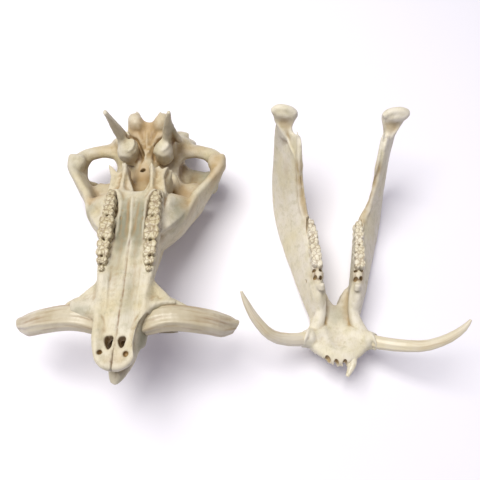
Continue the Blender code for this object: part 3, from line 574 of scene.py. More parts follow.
cuts += both(limb([(12.6, 172.0, -3.0), (12.4, 177.0, -6.5), (12.2, 182.0, -12.0)], [1.4, 2.4, 1.4], 0.8, 1.0),
             lump((11.6, 186.5, -5.0), (1.3, 1.6, 3.5)), lump((13.6, 160.0, -5.0), (0.9, 1.6, 2.5)),
             limb([(31.5, 313.0, -38.0), (28.5, 319.0, -42.0), (25.0, 322.0, -50.0)], [1.8, 2.8, 1.8], 0.8, 1.3),
             lump((13.4, 328.0, -38.0), (1.7, 1.5, 4.0)), lump((33.0, 118.0, -38.0), (5.0, 7.0, 4.5), (0, 0, 12)),
             limb([(43.0, 262.0, -60.0), (41.0, 270.0, -58.0), (39.0, 278.0, -56.0)], [2.0, 3.4, 2.0], 1.0, 1.0))
CREVICE = [(39.0, 297.5), (35.0, 302.6), (28.5, 305.0), (20.5, 306.0), (14.0, 303.6), (10.5, 297.5)]
for side in SIDES:
    band = CREVICE + [(x, y + wide) for (x, y), wide in zip(CREVICE[::-1], (0.6, 2.2, 2.9, 2.8, 2.0, 0.6))]
    cuts.append(prism([(side * x, y) for x, y in band], -38.0, -2.0, 0.9))
cuts += [prism([(-40, 282), (-34, 284), (-30, 281.5), (-24, 280.2), (-15.5, 280), (-9, 286), (-5, 290), (-6, 270),
                (-40, 270)], -43.0, -6.0),
         prism([(40, 286), (36, 287), (32, 283.5), (25, 280), (17, 283), (13.5, 287.5), (9, 289), (8, 270), (40, 270)],
               -43.0, -6.0)]
cuts.append(lump((31.0, 304.0, -18.0), (2.4, 3.2, 7.0), (-15, 0, 20)))
for path in ([(-21.1, 320.9, -36), (-15.2, 317.1, -36), (-11.2, 309.1, -37), (-7.0, 299.5, -38), (-3.8, 291.0, -39),
              (-5.5, 280.0, -42)],
             [(19.2, 320.7, -36), (14.5, 315.3, -36), (12.6, 306.8, -37), (11.6, 298.4, -38), (10.6, 289.0, -39),
              (12.0, 279.0, -42)]):
    cuts.append(limb(path, [1.2, 2.0, 2.4, 2.8, 2.8, 1.2], 0.9, 2.8))
bore(cranium, cuts)
dropped = keep_largest(cranium)
remesh(cranium, GRAIN)
print("loose crumbs dropped:", dropped, "- cranium now has", triangles(cranium), "triangles")

# %% [markdown]
# Now the skin is worked like clay. Plates of bone rise from the tooth rows to the cheeks, and the snout is trimmed
# to its edge. The palate has long shallow gutters and a raised midline, the tooth rows sit in swollen walls of
# bone with an open crypt behind the last molar, and a sharp ridge follows each cheek.

# %% Cranium: sculpting the palate and the face
UP = (0, 0, 1)
CRYPTS = {-1: [(-17.0, 148), (-17.5, 154.2), (-18.2, 165.8), (-20.4, 173.4), (-17.6, 184.4), (-19.6, 195.7),
               (-20.4, 202.8), (-23.6, 210.8), (-28.6, 215.3)],
          1: [(16.4, 148), (17.0, 159.9), (16.5, 172.5), (16.4, 187.0), (16.8, 197.4), (17.4, 205.3),
              (22.0, 211.6), (27.5, 215.6)]}
SNOUT_EDGE = [(-6, 1), (0, 6), (4, 12), (8, 17), (14, 19.6), (21, 17.6), (29, 16.0), (42, 17.0), (52, 20.0), (63, 28),
              (80, 40)]
SNOUT_TOP, SNOUT_DEPTH, SNOUT_HALF, SPILL = -6.0, 26.0, 27.0, 0.12
CREST = [(165, 46), (182, 50), (192, 56), (207, 62), (224, 70), (237, 77)]     # y and x of each cheek's edge
PLATE_START, PLATE_TOP, PLATE_FALL, SINK = 36.0, -9.0, 22.0, 3.0     # it stays a little under its prism


def trace(clay, side, strokes, z=None, up=None, ends=0.2):
    """Ridges and grooves on one side: each stroke has its points, its width and its height."""
    for points, width, height in strokes:
        clay.line(sided(side, points, z), width, height, up, ends)


clay = Clay(cranium)
clay.soften(1)
top_edge = np.interp(clay.co[:, 1], *zip(*SNOUT_EDGE))
down = unit((SNOUT_TOP - clay.co[:, 2]) / SNOUT_DEPTH)
limit = top_edge + (SNOUT_HALF - top_edge) * down ** 0.8
for side in SIDES:
    across, along = side * clay.co[:, 0], clay.co[:, 1]
    crest = np.interp(along, *zip(*CREST))
    slope = unit((across - PLATE_START) / np.maximum(crest - PLATE_START, 1.0))
    plate = PLATE_TOP - PLATE_FALL * slope - SINK
    lift = np.clip(plate - clay.co[:, 2], 0, 60)
    lift *= unit((across - 35.0) / 4.0) * (across < crest + 2) * unit((along - 160) / 14)
    lift *= unit((226 - along) / 22) * (clay.co[:, 2] > -75) * unit(clay.no[:, 2] * 3 + 0.6)
    clay.co[:, 2] += clay.blur(lift, 4)
clay.refresh()
clay.soften(8, clay.balls(*(((side * 48, 200, -26), (18, 32, 20)) for side in SIDES)))
past = (clay.co[:, 0] > limit) & (clay.co[:, 1] > 6) & (clay.co[:, 1] < 62) & (clay.co[:, 2] > -34)
clay.co[past, 0] = limit[past] + SPILL * (clay.co[past, 0] - limit[past])
clay.refresh()
for side in SIDES:
    trace(clay, side, (
        ([(9, 60), (10, 100), (8, 140), (11.5, 168)], 4.0, -1.0),
        ([(17.2, 58), (15.9, 68), (16.4, 82), (17.2, 95), (18, 112)], 1.3, 1.0),
        ([(20, 62), (22, 84), (24, 104)], 2.2, -0.6),
        ([(13, 42), (15, 52), (20, 60), (27, 70)], 1.8, -0.6),
        ([(15, 150), (14.5, 180), (15.5, 205), (22, 215), (29, 219)], 2.0, 1.5),
        ([(35.5, 145), (36, 180), (33, 206)], 2.2, 0.9),
        ([(5, 150), (5.5, 180), (7, 208)], 2.4, -1.0),
        ([(13, 156), (13, 172)], 1.6, 0.5)), PALATE, UP)
    ridge = [(104, 284), (98, 278), (93, 264), (84, 249), (77, 237), (70, 224), (62, 207), (56, 192), (47, 180)]
    clay.line(sided(side, ridge, -31), 2.6, 1.5, ends=0.05)
    clay.line(sided(side, [(95, 268), (86, 250), (78, 236), (68, 218)], -47), 6.0, -1.2, ends=0.2)
    clay.press((side * 56, 214, -40), (7, 9, 7), 2.2)
    clay.press((side * 100, 294, -47), (7, 7, 7), -1.2)
    clay.line(sided(side, [(28.0, 303, -8), (29.5, 301, 4), (33.0, 300.5, 18), (36.5, 300, 29)]), 1.3, 1.3, ends=0.1)
    trace(clay, side, (([(24, 344, -32), (15, 328, -36), (8, 312, -37)], 1.6, 0.9),
                       ([(9, 346, -34), (6, 328, -36), (3, 312, -37)], 1.6, 0.9),
                       ([(14, 344, -33), (10, 330, -36), (5, 316, -37)], 2.6, -0.9),
                       ([(22, 222, -5), (24, 236, -5), (23, 248, -5)], 1.6, 1.4)))
    clay.line(sided(side, [(10, 262, -40), (12, 280, -42), (9, 300, -40)]), 2.4, -0.9)
clay.line(bent([(-0.5, 140, PALATE), (0.2, 165, PALATE), (-1.5, 190, PALATE), (-2.0, 214, PALATE)]), 1.6, 2.0, UP,
          ends=0.15)
for y in range(58, 112, 6):                                        # the faint cross ridges of the palate
    clay.line(bent([(-14, y, PALATE), (-7, y + 4, PALATE), (2, y + 2, PALATE), (10, y + 5, PALATE)]), 1.5, 0.28, UP,
              ends=0.2)
clay.press((-0.5, 13, -3), (13, 7, 4), 0.8, UP)
clay.refresh()
for side in SIDES:
    clay.line(bent([(x, y, PALATE + 0.5) for x, y in CRYPTS[side]]), 1.1, -0.8, UP, ends=0.03)
    clay.line(sided(side, [(34, 325), (48, 320.7), (61, 316), (75, 309), (88, 300)], -46), 4.0, 1.6)
    clay.line(sided(side, [(44, 311), (60, 307), (76, 301)], -50), 2.0, -0.7)
clay.refresh()

# %% Cranium: sutures
MIDLINE = [(0.2, 150), (0.3, 120), (0.5, 92.7), (0.2, 75.4), (-0.5, 60.2), (-1.1, 48.7), (-1.3, 37.4), (-1.7, 24.8)]
SIDE_SEAMS = {                                     # points on the right, sway in mm, pitch and seed
    "cheek_": ([(99.9, 304.7, -52), (94.3, 298.3, -51), (88.9, 290.9, -52), (86, 280, -58)], 0.5, 3.0, 7),
    "ear_": ([(53.4, 321.8, -50), (48.5, 318.6, -49), (43.6, 314.3, -50)], 0.4, 2.0, 15),
    "jaw_": ([(26.5, 57, -8), (27, 50, -16), (26, 44, -26)], 0.6, 2.0, 3),
    "socket_": ([(28, 74, -8), (36, 78, -11), (50, 77, -15), (58, 75, -19)], 0.9, 1.6, 21),
}
seams = {"palate": wavy([(x, y, PALATE) for x, y in MIDLINE], 0.22, 3.0, 1),
         "front": wavy([(-1.7, 25, -3), (-2.3, 16, -3), (-1.7, 8, -3), (-1.9, 0, -5)], 0.5, 2.0, 2, 5),
         "nose": wavy([(-4.6, -6, -33), (-2.5, 8, -31), (-0.8, 20, -31)], 0.2, 3.0, 2)}
for side, word in ((-1, "left"), (1, "right")):
    for name, (points, sway, pitch, seed) in SIDE_SEAMS.items():
        seams[name + word] = wavy([(side * x, y, z) for x, y, z in points], sway, pitch, seed + side)
for name, path in seams.items():
    clay.line(path, 0.9, -0.6 if name in ("palate", "front") else -0.45, ends=0.05)
clay.crumple(26.0, 0.45, seed=3.1)
clay.crumple(7.0, 0.22, seed=9.4)
rough = sum(clay.ball((side * x, y, z), (16, 14, 12)) for side in SIDES
            for x, y, z in ((44, 76, -15), (22, 240, -12), (30, 325, -50)))
clay.crumple(3.4, 0.55, unit(rough), seed=1.3)
clay.refresh()
cleft = prism([(-3.3, -6), (-2.9, 1), (-2.2, 8), (-2.7, 16), (-1.9, 24), (-1.4, 24), (-1.6, 16), (-0.8, 8), (-1.1, 1),
               (-0.8, -6)], -12.0, 6.0)
bore(cranium, [cleft])
keep_largest(cranium)
MOST_TRIANGLES = 192000
apply_modifier(cranium, "DECIMATE", ratio=min(1.0, MOST_TRIANGLES / triangles(cranium)))
print("sutures scored:", ", ".join(seams), "- cranium has", triangles(cranium), "triangles")

# %% [markdown]
# ## The mandible
# It is worked in the same way: facets melted, coarse teeth planed off, a dished chin with ridges beside it and
# sockets for the lost incisors, heads on the condyles, thin coronoids with a notch behind them, and ridges where
# the chewing muscles were fixed.

# %% Mandible: skin, forms and holes
JAW_GRAIN = 1.4
mandible = join("mandible", [frame_copy(node, MANDIBLE) for node in ("mandible_left", "mandible_right")])
planes = [slab((side * 27.0, 130.0, 75.5), (20.0, 93.0, 25.0), -4.3 * side) for side in SIDES]
remesh(mandible, JAW_GRAIN)
bore(mandible, planes)
plugs = [lump((x, y + 3.0, 40.0), (6.0, 9.0, 5.0)) for x, y in ((-13.0, 6.0), (-4.5, 1.5), (4.5, 1.5))]
plugs += [lump((side * 24.0, 104.0, 58.0), (7.0, 9.0, 8.0)) for side in SIDES]
mandible = join("mandible", [mandible] + plugs)
remesh(mandible, JAW_GRAIN)
clay = Clay(mandible)
clay.melt(20)
added = []
for path, sizes, wide, tall in (
        ([(54, 287.5, 132.5), (61, 290.5, 136.5), (70, 292, 138), (78, 291.5, 137.5), (83.5, 289, 134.5)],
         [4.0, 4.8, 5.2, 5.0, 4.2], 1.0, 0.85),
        ([(43.5, 208, 74), (46.5, 224, 93), (49, 238, 109), (50.5, 249, 118.5), (51.5, 258, 126.5), (53, 264, 132)],
         [1.6, 2.6, 3.2, 2.9, 2.1, 0.7], 0.7, 1.2),
        ([(20.0, 98, 54), (18.6, 84, 47.5), (18.8, 70, 41), (21.5, 56, 38), (28, 42, 37.5)],
         [2.6, 4.2, 5.4, 6.6, 6.8], 1.1, 0.75),
        ([(20.8, 85.5, 60), (21.4, 90, 66.6)], [4.4, 3.4], 0.95, 0.9)):
    added += both(limb(path, sizes, wide, tall))
for side, (x, y, z) in ((1, (39.0, 30.5, 39.6)), (-1, (39.0, 32.0, 39.2))):      # a lip of bone round each tusk
    ring = [(side * x + side * 0.42 * 9.6 * math.cos(a) * -0.9, y + 9.4 * math.cos(a), z + 9.0 * math.sin(a))
            for a in np.linspace(0, 2 * math.pi, 9)[:-1]]
    added.append(limb(ring + ring[:2], [1.8, 2.3, 2.0, 1.6, 1.9, 2.2, 2.4, 1.9, 1.8, 2.0], 1.0, 1.0))
    added.append(lump((side * 33.5, y + 1.0, 38.5), (7.5, 10.5, 9.5)))
mandible = join("mandible", [mandible] + added)
remesh(mandible, JAW_GRAIN)
clay = Clay(mandible)
clay.melt(4)
soft = sum(clay.ball((side * 22, 60, 44), (14, 30, 14)) + clay.ball((side * 69, 290, 134), (26, 9, 10))
           for side in SIDES)
clay.melt(16, unit(soft))
under = unit((45.0 - clay.co[:, 2]) / 14.0) * np.clip((16.0 - clay.co[:, 1]) / 16.0, 0, 1.2)
clay.co[:, 1] += 5.0 * under * (np.abs(clay.co[:, 0]) < 34)
clay.refresh()
sockets = [lump((x, y, z), (2.9, 4.6, 6.4), (38, 0, turn)) for x, y, z, turn in
           ((-14.8, 6.0, 44.5, 20), (-5.4, 2.0, 44.8, 5), (4.4, 2.0, 44.8, -5))]
sockets += [lump((x, y, 41.0), (2.5, 6.0, 8.5), (24, 0, turn)) for x, y, turn in
            ((-16.0, 3.2, 22), (-5.8, -1.0, 5), (4.6, -1.0, -5))]
GUMS = [[(-20.4, 128), (-21.4, 150), (-22.6, 168), (-24.0, 183), (-29.5, 187), (-36.4, 182), (-37.0, 168), (-35.6, 148),
         (-33.6, 136)],
        [(17.8, 134), (19.0, 150), (20.4, 170), (22.4, 184), (29.0, 187), (34.6, 181), (35.8, 168), (34.6, 146),
         (32.5, 132)]]
sockets += [prism(outline, 57.0, 76.0, 0.95) for outline in GUMS]
sockets += [lump((x, y, 62.0), (wide, long, 7.0)) for x, y, wide, long in
            ((-28.9, 108.5, 2.4, 2.2), (-21.8, 108.1, 2.3, 2.4), (-28.2, 99.4, 2.5, 2.6), (-21.8, 99.0, 2.0, 2.5),
             (20.8, 108.7, 2.3, 2.2), (27.7, 109.6, 2.4, 2.3), (20.2, 98.7, 2.4, 2.6), (26.4, 99.5, 2.3, 2.4))]
for side in SIDES:
    sockets += [lump((side * 35.5, 102.0, 44.0), (4.5, 2.2, 2.0), (0, 0, 25 * side)),
                lump((side * 31.0, 66.0, 41.0), (5.0, 2.4, 2.0), (0, 0, 25 * side))]
bore(mandible, sockets)
keep_largest(mandible)
clay = Clay(mandible)
clay.soften(2, unit(clay.ball((0, 290, 132), (120, 24, 22))))
for side in SIDES:
    trace(clay, side, (
        ([(84, 288, 127), (72, 276, 118), (62, 266.5, 108), (56, 249, 107), (52.5, 239, 102)], 2.2, 1.8),
        ([(53, 286, 128), (58, 277, 120), (60, 267, 113)], 2.4, 1.2),
        ([(20, 97, 56), (17.5, 84, 50), (17.6, 72, 47.5), (21, 58, 46.5), (26.5, 43, 46)], 3.2, 1.0),
        ([(52, 247, 115), (49, 228, 94), (45.5, 204, 70), (42, 187, 63), (37, 174, 60)], 2.2, 1.8),
        ([(48, 231, 102), (45, 219, 88), (42, 210, 77), (37, 191, 65), (32, 180, 57)], 4.2, -2.6),
        ([(34, 118, 56), (42, 160, 54), (52, 196, 66)], 3.5, 0.8),
        ([(24, 60, 46), (30, 78, 50), (34, 100, 52)], 2.2, 0.8),
        ([(7, 25, 46), (8, 45, 44), (6, 62, 42)], 6.0, -0.9),
        ([(34.5, 122, 63), (35, 150, 60), (37, 176, 62)], 2.2, 0.8),
        ([(17.5, 122, 63), (20, 150, 60), (22, 176, 60)], 1.6, 0.8)))
    clay.refresh()
    clay.line(sided(side, [(33.6, 120), (34.2, 142), (34.0, 160), (34.5, 176), (29.0, 184), (23.0, 183), (19.6, 172),
                           (19.0, 150), (17.6, 124)], 64), 0.9, -1.7, ends=0.03)
clay.line([Vector((0, 12, 46)), Vector((0, 30, 45)), Vector((0.5, 62, 42))], 2.4, 0.8, ends=0.2)
for side in SIDES:
    clay.press((side * 67, 283, 124), (8, 6, 7), 2.4)
clay.crumple(22.0, 0.4, seed=5.2)
clay.crumple(6.5, 0.2, seed=8.8)
clay.crumple(3.2, 0.3, unit(clay.ball((0, 20, 44), (40, 16, 10))), seed=2.6)
clay.refresh()
print("mandible has", triangles(mandible), "triangles")

# %% [markdown]
# ## Cheek teeth
# A warthog's molar is a bundle of enamel pillars grown together. One lobe is modelled and copied, pairs of
# lobes make a tooth, and a fine voxel remesh fuses the row. The crowns are worn flat, and the pillars are then
# carved into them as a cell pattern that runs down the sides, each with a small pit. The last molars are only
# just coming up, so they are low and narrow towards the back.

# %% Teeth
bpy.ops.object.select_all(action="DESELECT")
bpy.ops.mesh.primitive_uv_sphere_add(segments=16, ring_count=12, radius=1.0)
first_lobe = bpy.context.object
for vert in first_lobe.data.vertices:
    height = abs(vert.co.z)
    around = math.hypot(vert.co.x, vert.co.y)
    swell = around ** 0.45 / around if around > 1e-6 else 1.0
    vert.co = (vert.co.x * swell, vert.co.y * swell, math.copysign(height ** 0.6, vert.co.z))
lobe_mesh = first_lobe.data.copy()
bpy.data.objects.remove(first_lobe)


def lobe(x, y, top, wide, long, height):
    twin = placed("lobe", lobe_mesh.copy())
    twin.data.transform(Matrix.Translation((x, y, top - height)) @ Matrix.Diagonal((wide, long, height, 1.0)))
    return twin


UPPER_ROW = [                  # front y, back y, crown z, half-width, pairs of lobes
    (107.4, 114.2, 1.4, 3.6, 0),
    (115.4, 123.4, 3.2, 5.9, 1),
    (125.0, 142.8, 5.2, 7.3, 2),
    (144.8, 173.8, 6.9, 8.4, 2),
    (175.8, 212.0, 4.6, 7.0, 4),
]
LOWER_ROW = [
    (111.5, 141.0, 71.6, 6.4, 3),
    (142.4, 179.5, 67.5, 5.8, 4),
]


def tooth_lobes(front, back, crown, half, pairs, middle, last):
    """The lobes of one tooth, nudged about as grown ones are."""
    if pairs == 0:
        y = 0.5 * (front + back)
        return [lobe(middle(y), y, crown, half, 0.54 * (back - front), 8.0)]
    made = []
    pitch = (back - front) / pairs
    for i in range(pairs):
        y = front + (i + 0.5) * pitch
        late = max(0.0, (i + 0.5) / pairs - 0.4) ** 1.5 if last else 0.0
        wide = half * (1.0 - 0.9 * late)
        for spot in SIDES:
            top = crown - 11.0 * late + chance.uniform(-0.5, 0.4)
            made.append(lobe(middle(y) + spot * 0.44 * wide, y + chance.uniform(-0.8, 0.8) + 0.6 * spot, top,
                             wide * chance.uniform(0.6, 0.66), pitch * chance.uniform(0.6, 0.66), 9.0))
        if i:
            made.append(lobe(middle(y), y - 0.5 * pitch, crown - 0.8 - 9.0 * late, 0.55 * wide, 0.3 * pitch, 9.0))
    made.append(lobe(middle(y), 0.5 * (front + back), crown - 3.4, 0.9 * half, 0.47 * (back - front), 8.0))
    return made


def cells(points, size, seed):
    """A cell pattern seen from above: how far into its cell each point is, and a number for the cell."""
    inside, lift = np.empty(len(points)), np.empty(len(points))
    for n, p in enumerate(points):
        gaps, spots = noise.voronoi(Vector((p[0] / size, p[1] / size, 0.06 * p[2] + seed)))
        inside[n] = gaps[1] - gaps[0]
        lift[n] = noise.noise(spots[0] * 3.7)
    return inside, lift


TOOTH_GRAIN, WEAR = 0.55, 1.6


def tooth_row(name, row, middle, side):
    """One side's row of teeth, fused, worn flat and carved."""
    pieces = []
    for index, entry in enumerate(row):
        pieces += tooth_lobes(*entry, middle, index == len(row) - 1)
    teeth = join(name, pieces)
    if side < 0:
        flip(teeth.data)
    remesh(teeth, TOOTH_GRAIN)
    clay = Clay(teeth)
    clay.soften(2)
    worn = np.interp(clay.co[:, 1], [0.5 * (front + back) for front, back, *_ in row],
                     [crown - WEAR for _, _, crown, *_ in row])
    clay.co[:, 2] -= 0.6 * np.clip(clay.co[:, 2] - worn, 0, 10)
    clay.refresh()
    inside, lift = cells(clay.co, 5.2, 2.0 + 0.7 * side)
    groove = np.exp(-(inside / 0.13) ** 2)
    facing = unit(clay.no[:, 2])
    pit = unit(inside - 0.62) * facing
    clay.co += ((0.5 * lift * facing - 0.36 * groove - 0.6 * pit)[:, None]) * clay.no
    clay.refresh()
    clay.soften(1)
    clay.crumple(2.0, 0.16, seed=4.0 + side)
    clay.refresh()
    store(teeth, "grooves", unit(groove + 0.6 * clay.blur(pit, 1)))
    print(name, triangles(teeth), "triangles")
    return teeth


def store(obj, name, values):
    """Keeps a number at each point for the materials to read."""
    layer = obj.data.attributes.get(name) or obj.data.attributes.new(name, "FLOAT", "POINT")
    layer.data.foreach_set("value", np.asarray(values, np.float32))


def place_row(jaw, row, start, slant, sides):
    """Both rows of one jaw, whose middle lines start at x and slant outward."""
    for side, word in sides:
        name = jaw + "_teeth_" + word
        rows[name] = tooth_row(name, row, lambda y: start + slant * (y - 110.0), side)


rows = {}
place_row("upper", UPPER_ROW, 25.4, 0.008, ((-1, "left"), (1, "right")))
place_row("lower", LOWER_ROW, 25.0, 0.075, ((1, "left"), (-1, "right")))

# %% [markdown]
# ## Tusks
# The tusks are copied from the frame, given a fine skin, and then worked along their own length. The upper ones
# bulge forward in the middle and are worn to a long edge with shallow grooves beside it, and their ends are thin
# and blunt. The lower ones are smooth and sharp. The incisor gets a root that reaches into its socket.

# %% Tusks and the lone incisor


def tusk_line(side):
    """The middle line of an upper tusk, from its socket to its tip."""
    end = 121.0 if side < 0 else 118.0
    return [(side * 22.0, 56.0, -24.0), (side * 44.0, 62.0, -20.0), (side * 66.0, 63.5, -23.0),
            (side * 90.0, 62.5, -32.0), (side * (end - 14.0), 62.5, -44.0), (side * end, 65.0, -54.5)]


def lower_tusk_line(side):
    """The same for a lower tusk; the two differ, as in the photograph."""
    if side > 0:
        return [(26.0, 36.0, 34.0), (48.0, 27.0, 43.0), (75.0, 20.5, 56.0), (95.0, 18.5, 69.0),
                (114.0, 23.5, 83.0), (126.0, 31.0, 94.0), (132.0, 38.0, 101.0)]
    return [(-26.0, 37.0, 34.0), (-48.0, 28.5, 43.0), (-72.0, 25.5, 57.0), (-88.0, 30.0, 71.0),
            (-102.0, 42.5, 84.5), (-110.5, 54.0, 95.0), (-116.0, 63.5, 103.0)]


def grooved(obj, path, grooves, depth, edges, seed):
    """Edges and grooves along a tusk, from each point's place along and about its middle line."""
    clay = Clay(obj)
    line = np.array([tuple(p) for p in bent(path, 6)], float)
    gap, along = reach(clay.co, line)
    spots = np.linspace(0, 1, len(line))
    middle = np.stack([np.interp(along, spots, line[:, i]) for i in range(3)], axis=1)
    ahead = np.gradient(line, axis=0)
    ahead = np.stack([np.interp(along, spots, ahead[:, i]) for i in range(3)], axis=1)
    ahead /= np.linalg.norm(ahead, axis=1)[:, None]
    out = clay.co - middle
    front = np.cross(ahead, (0, 0, 1))
    front /= np.linalg.norm(front, axis=1)[:, None]
    rise = np.cross(front, ahead)
    front *= np.where(front[:, 1] > 0, -1.0, 1.0)[:, None]
    angle = np.arctan2(np.einsum("ij,ij->i", out, rise), np.einsum("ij,ij->i", out, front))
    draw = random.Random(seed)
    lift = np.zeros(clay.count)
    for place, height, spread in edges:
        off = np.angle(np.exp(1j * (angle - math.radians(place) - 0.12 * np.sin(4.0 * along + place))))
        sides = np.exp(-((np.abs(off) - spread) / (0.6 * spread)) ** 2)
        lift += height * (np.exp(-(off / (0.35 * spread)) ** 2) - 0.55 * sides)
    for _ in range(grooves):
        place, spread = draw.uniform(-math.pi, math.pi), draw.uniform(0.06, 0.2)
        wander = 0.25 * np.sin(5.0 * along + place)
        off = np.angle(np.exp(1j * (angle - place - wander)))
        lift -= depth * draw.uniform(0.3, 1.0) * np.exp(-(off / spread) ** 2)
    fade = np.clip((1.0 - along) / 0.08, 0.2, 1.0)
    clay.co += (lift * fade)[:, None] * clay.no
    clay.crumple(14.0, 0.5 * depth, seed=seed)
    clay.refresh()
    store(obj, "along", along)
    store(obj, "around", angle / math.pi)


UPPER_SWELL, UPPER_GRAIN, LOWER_SWELL, LOWER_GRAIN, INCISOR_GRAIN = 1.5, 0.8, 0.3, 0.7, 0.5
BULGE, BULGE_AT, BULGE_REACH = 1.6, 68.0, 42.0         # how far forward, and where from the middle, in mm
TIP_AT, TIP_LENGTH, TIP_LINE = 103.0, 16.0, 66.0

tusks = {}
for side, word, thin, worn in ((-1, "left", 0.22, 48), (1, "right", 0.45, 38)):
    tusk = join("upper_tusk_ivory_" + word, [frame_copy("upper_tusk_" + word, CRANIUM, UPPER_SWELL)])
    remesh(tusk, UPPER_GRAIN)
    clay = Clay(tusk)
    clay.melt(14)
    away = np.abs(clay.co[:, 0])
    clay.co[:, 1] -= BULGE * unit(1.0 - ((away - BULGE_AT) / BULGE_REACH) ** 2)
    tip = unit((away - TIP_AT) / TIP_LENGTH)
    clay.co[:, 1] += thin * tip ** 2 * (TIP_LINE - clay.co[:, 1])
    clay.refresh()
    clay.melt(20, tip)
    clay.refresh()
    grooved(tusk, tusk_line(side), 6, 0.35, [(worn, 1.1, 0.5), (-50, 0.5, 0.5)], 31 + side)
    tusks[tusk.name] = (tusk, "upper_tusk_" + word, CRANIUM)
for side, word, worn in ((1, "left", 35), (-1, "right", 150)):
    tusk = join("lower_tusk_ivory_" + word, [frame_copy("lower_tusk_" + word, MANDIBLE, LOWER_SWELL)])
    remesh(tusk, LOWER_GRAIN)
    Clay(tusk).melt(14)
    grooved(tusk, lower_tusk_line(side), 2, 0.2, [(worn, 0.3, 0.5)], 41 + side)
    tusks[tusk.name] = (tusk, "lower_tusk_" + word, MANDIBLE)
root = limb([(16.0, 9.0, 41.5), (14.4, 2.5, 43.6), (11.0, -4.5, 44.0), (7.8, -10.5, 43.8)], [3.2, 3.8, 3.4, 2.2])
incisor = join("lower_incisor_tooth", [frame_copy("lower_incisor", MANDIBLE, 0.0), root])
remesh(incisor, INCISOR_GRAIN)
Clay(incisor).melt(12)
print("tusks:", {name: triangles(entry[0]) for name, entry in tusks.items()})

# %% [markdown]
# ## Marks for the materials
# Old bone is darker in hollows, cracks and deep openings, where dust and tissue dried on and where shade falls, and
# both are painted in here. Each point gets a few numbers: hollow and edge, from the shape close by; shelter, the
# share of rays that hit bone, for painted shade in deep openings; a brown stain along sutures and round teeth, with
# painted shade in the crevices by the bullae; a warm layer, orange-brown stain together with painted shade in
# recesses and on faces turned from the light; and a grey layer, dull tone together with painted shade on sides turned
# from the light.

# %% Painting
RAYS, FAR, SAMPLES = 24, 40.0, 16000


def shelter(obj):
    """The share of rays from each point that hit the bone within a few centimetres."""
    clay = Clay(obj)
    tree = BVHTree.FromObject(obj, bpy.context.evaluated_depsgraph_get())
    step = max(1, clay.count // SAMPLES)
    picked = np.arange(0, clay.count, step)
    draw = np.random.default_rng(5)
    ways = draw.normal(size=(RAYS, 3))
    ways /= np.linalg.norm(ways, axis=1)[:, None]
    cover = np.zeros(len(picked))
    for n, i in enumerate(picked):
        start = Vector(clay.co[i] + 0.6 * clay.no[i])
        normal = clay.no[i]
        hit = 0
        for way in ways:
            if way @ normal < 0:
                way = -way
            if tree.ray_cast(start, Vector(way), FAR)[0] is not None:
                hit += 1
        cover[n] = hit / RAYS
    tree = kdtree.KDTree(len(picked))
    for n, i in enumerate(picked):
        tree.insert(clay.co[i], n)
    tree.balance()
    out = np.array([cover[tree.find(co)[1]] for co in clay.co])
    return clay.blur(out, 5)


def patches(clay, spots, seed):
    """Painted patches with ragged edges: each spot is a centre, radii and an amount."""
    ragged = 0.5 * noise_at(clay.co, 9.0, seed) + 0.35 * noise_at(clay.co, 3.0, seed + 1)
    out = np.zeros(clay.count)
    for centre, radii, amount in spots:
        out = np.maximum(out, amount * unit(1.5 * clay.ball(centre, radii) + 0.6 * ragged - 0.25))
    return clay.blur(out, 2)


def mark_relief(clay, fine, wide, hollow, edge):
    """Stores what lies in a hollow and what stands on an edge; fine and wide are rounds and a depth in mm."""
    near, far = (np.clip(clay.hollows(rounds) / depth, -1, 1) for rounds, depth in (fine, wide))
    store(clay.obj, "hollow", unit(hollow[0] * near + hollow[1] * far))
    store(clay.obj, "edge", unit(-edge[0] * near - edge[1] * far))


def mark(obj, stains_and_crevice_shade, warm_stain_and_shade, grey_and_shade):
    clay = Clay(obj)
    mark_relief(clay, (3, 0.25), (25, 1.6), (0.5, 0.6), (0.4, 0.8))
    store(obj, "shelter", shelter(obj))
    brown = np.zeros(clay.count)
    ragged = 0.75 + 0.5 * noise_at(clay.co, 4.0, 6.5)
    for path, width, amount in stains_and_crevice_shade:
        brown = np.maximum(brown, amount * clay.near(path, width)[0])
    # The stain layer holds brown stain and painted crevice shade, the warm layer orange-brown stain and painted shade,
    # the grey layer dull tone and painted shade
    store(obj, "stain_and_crevice_shade", unit(brown * ragged))
    store(obj, "warm_stain_and_shade", patches(clay, warm_stain_and_shade, 2.2))
    store(obj, "grey_and_shade", patches(clay, grey_and_shade, 7.1))


def paired(*spots):
    """The same spots on both sides."""
    return [((side * x, y, z), radii, amount) for side in SIDES for (x, y, z), radii, amount in spots]


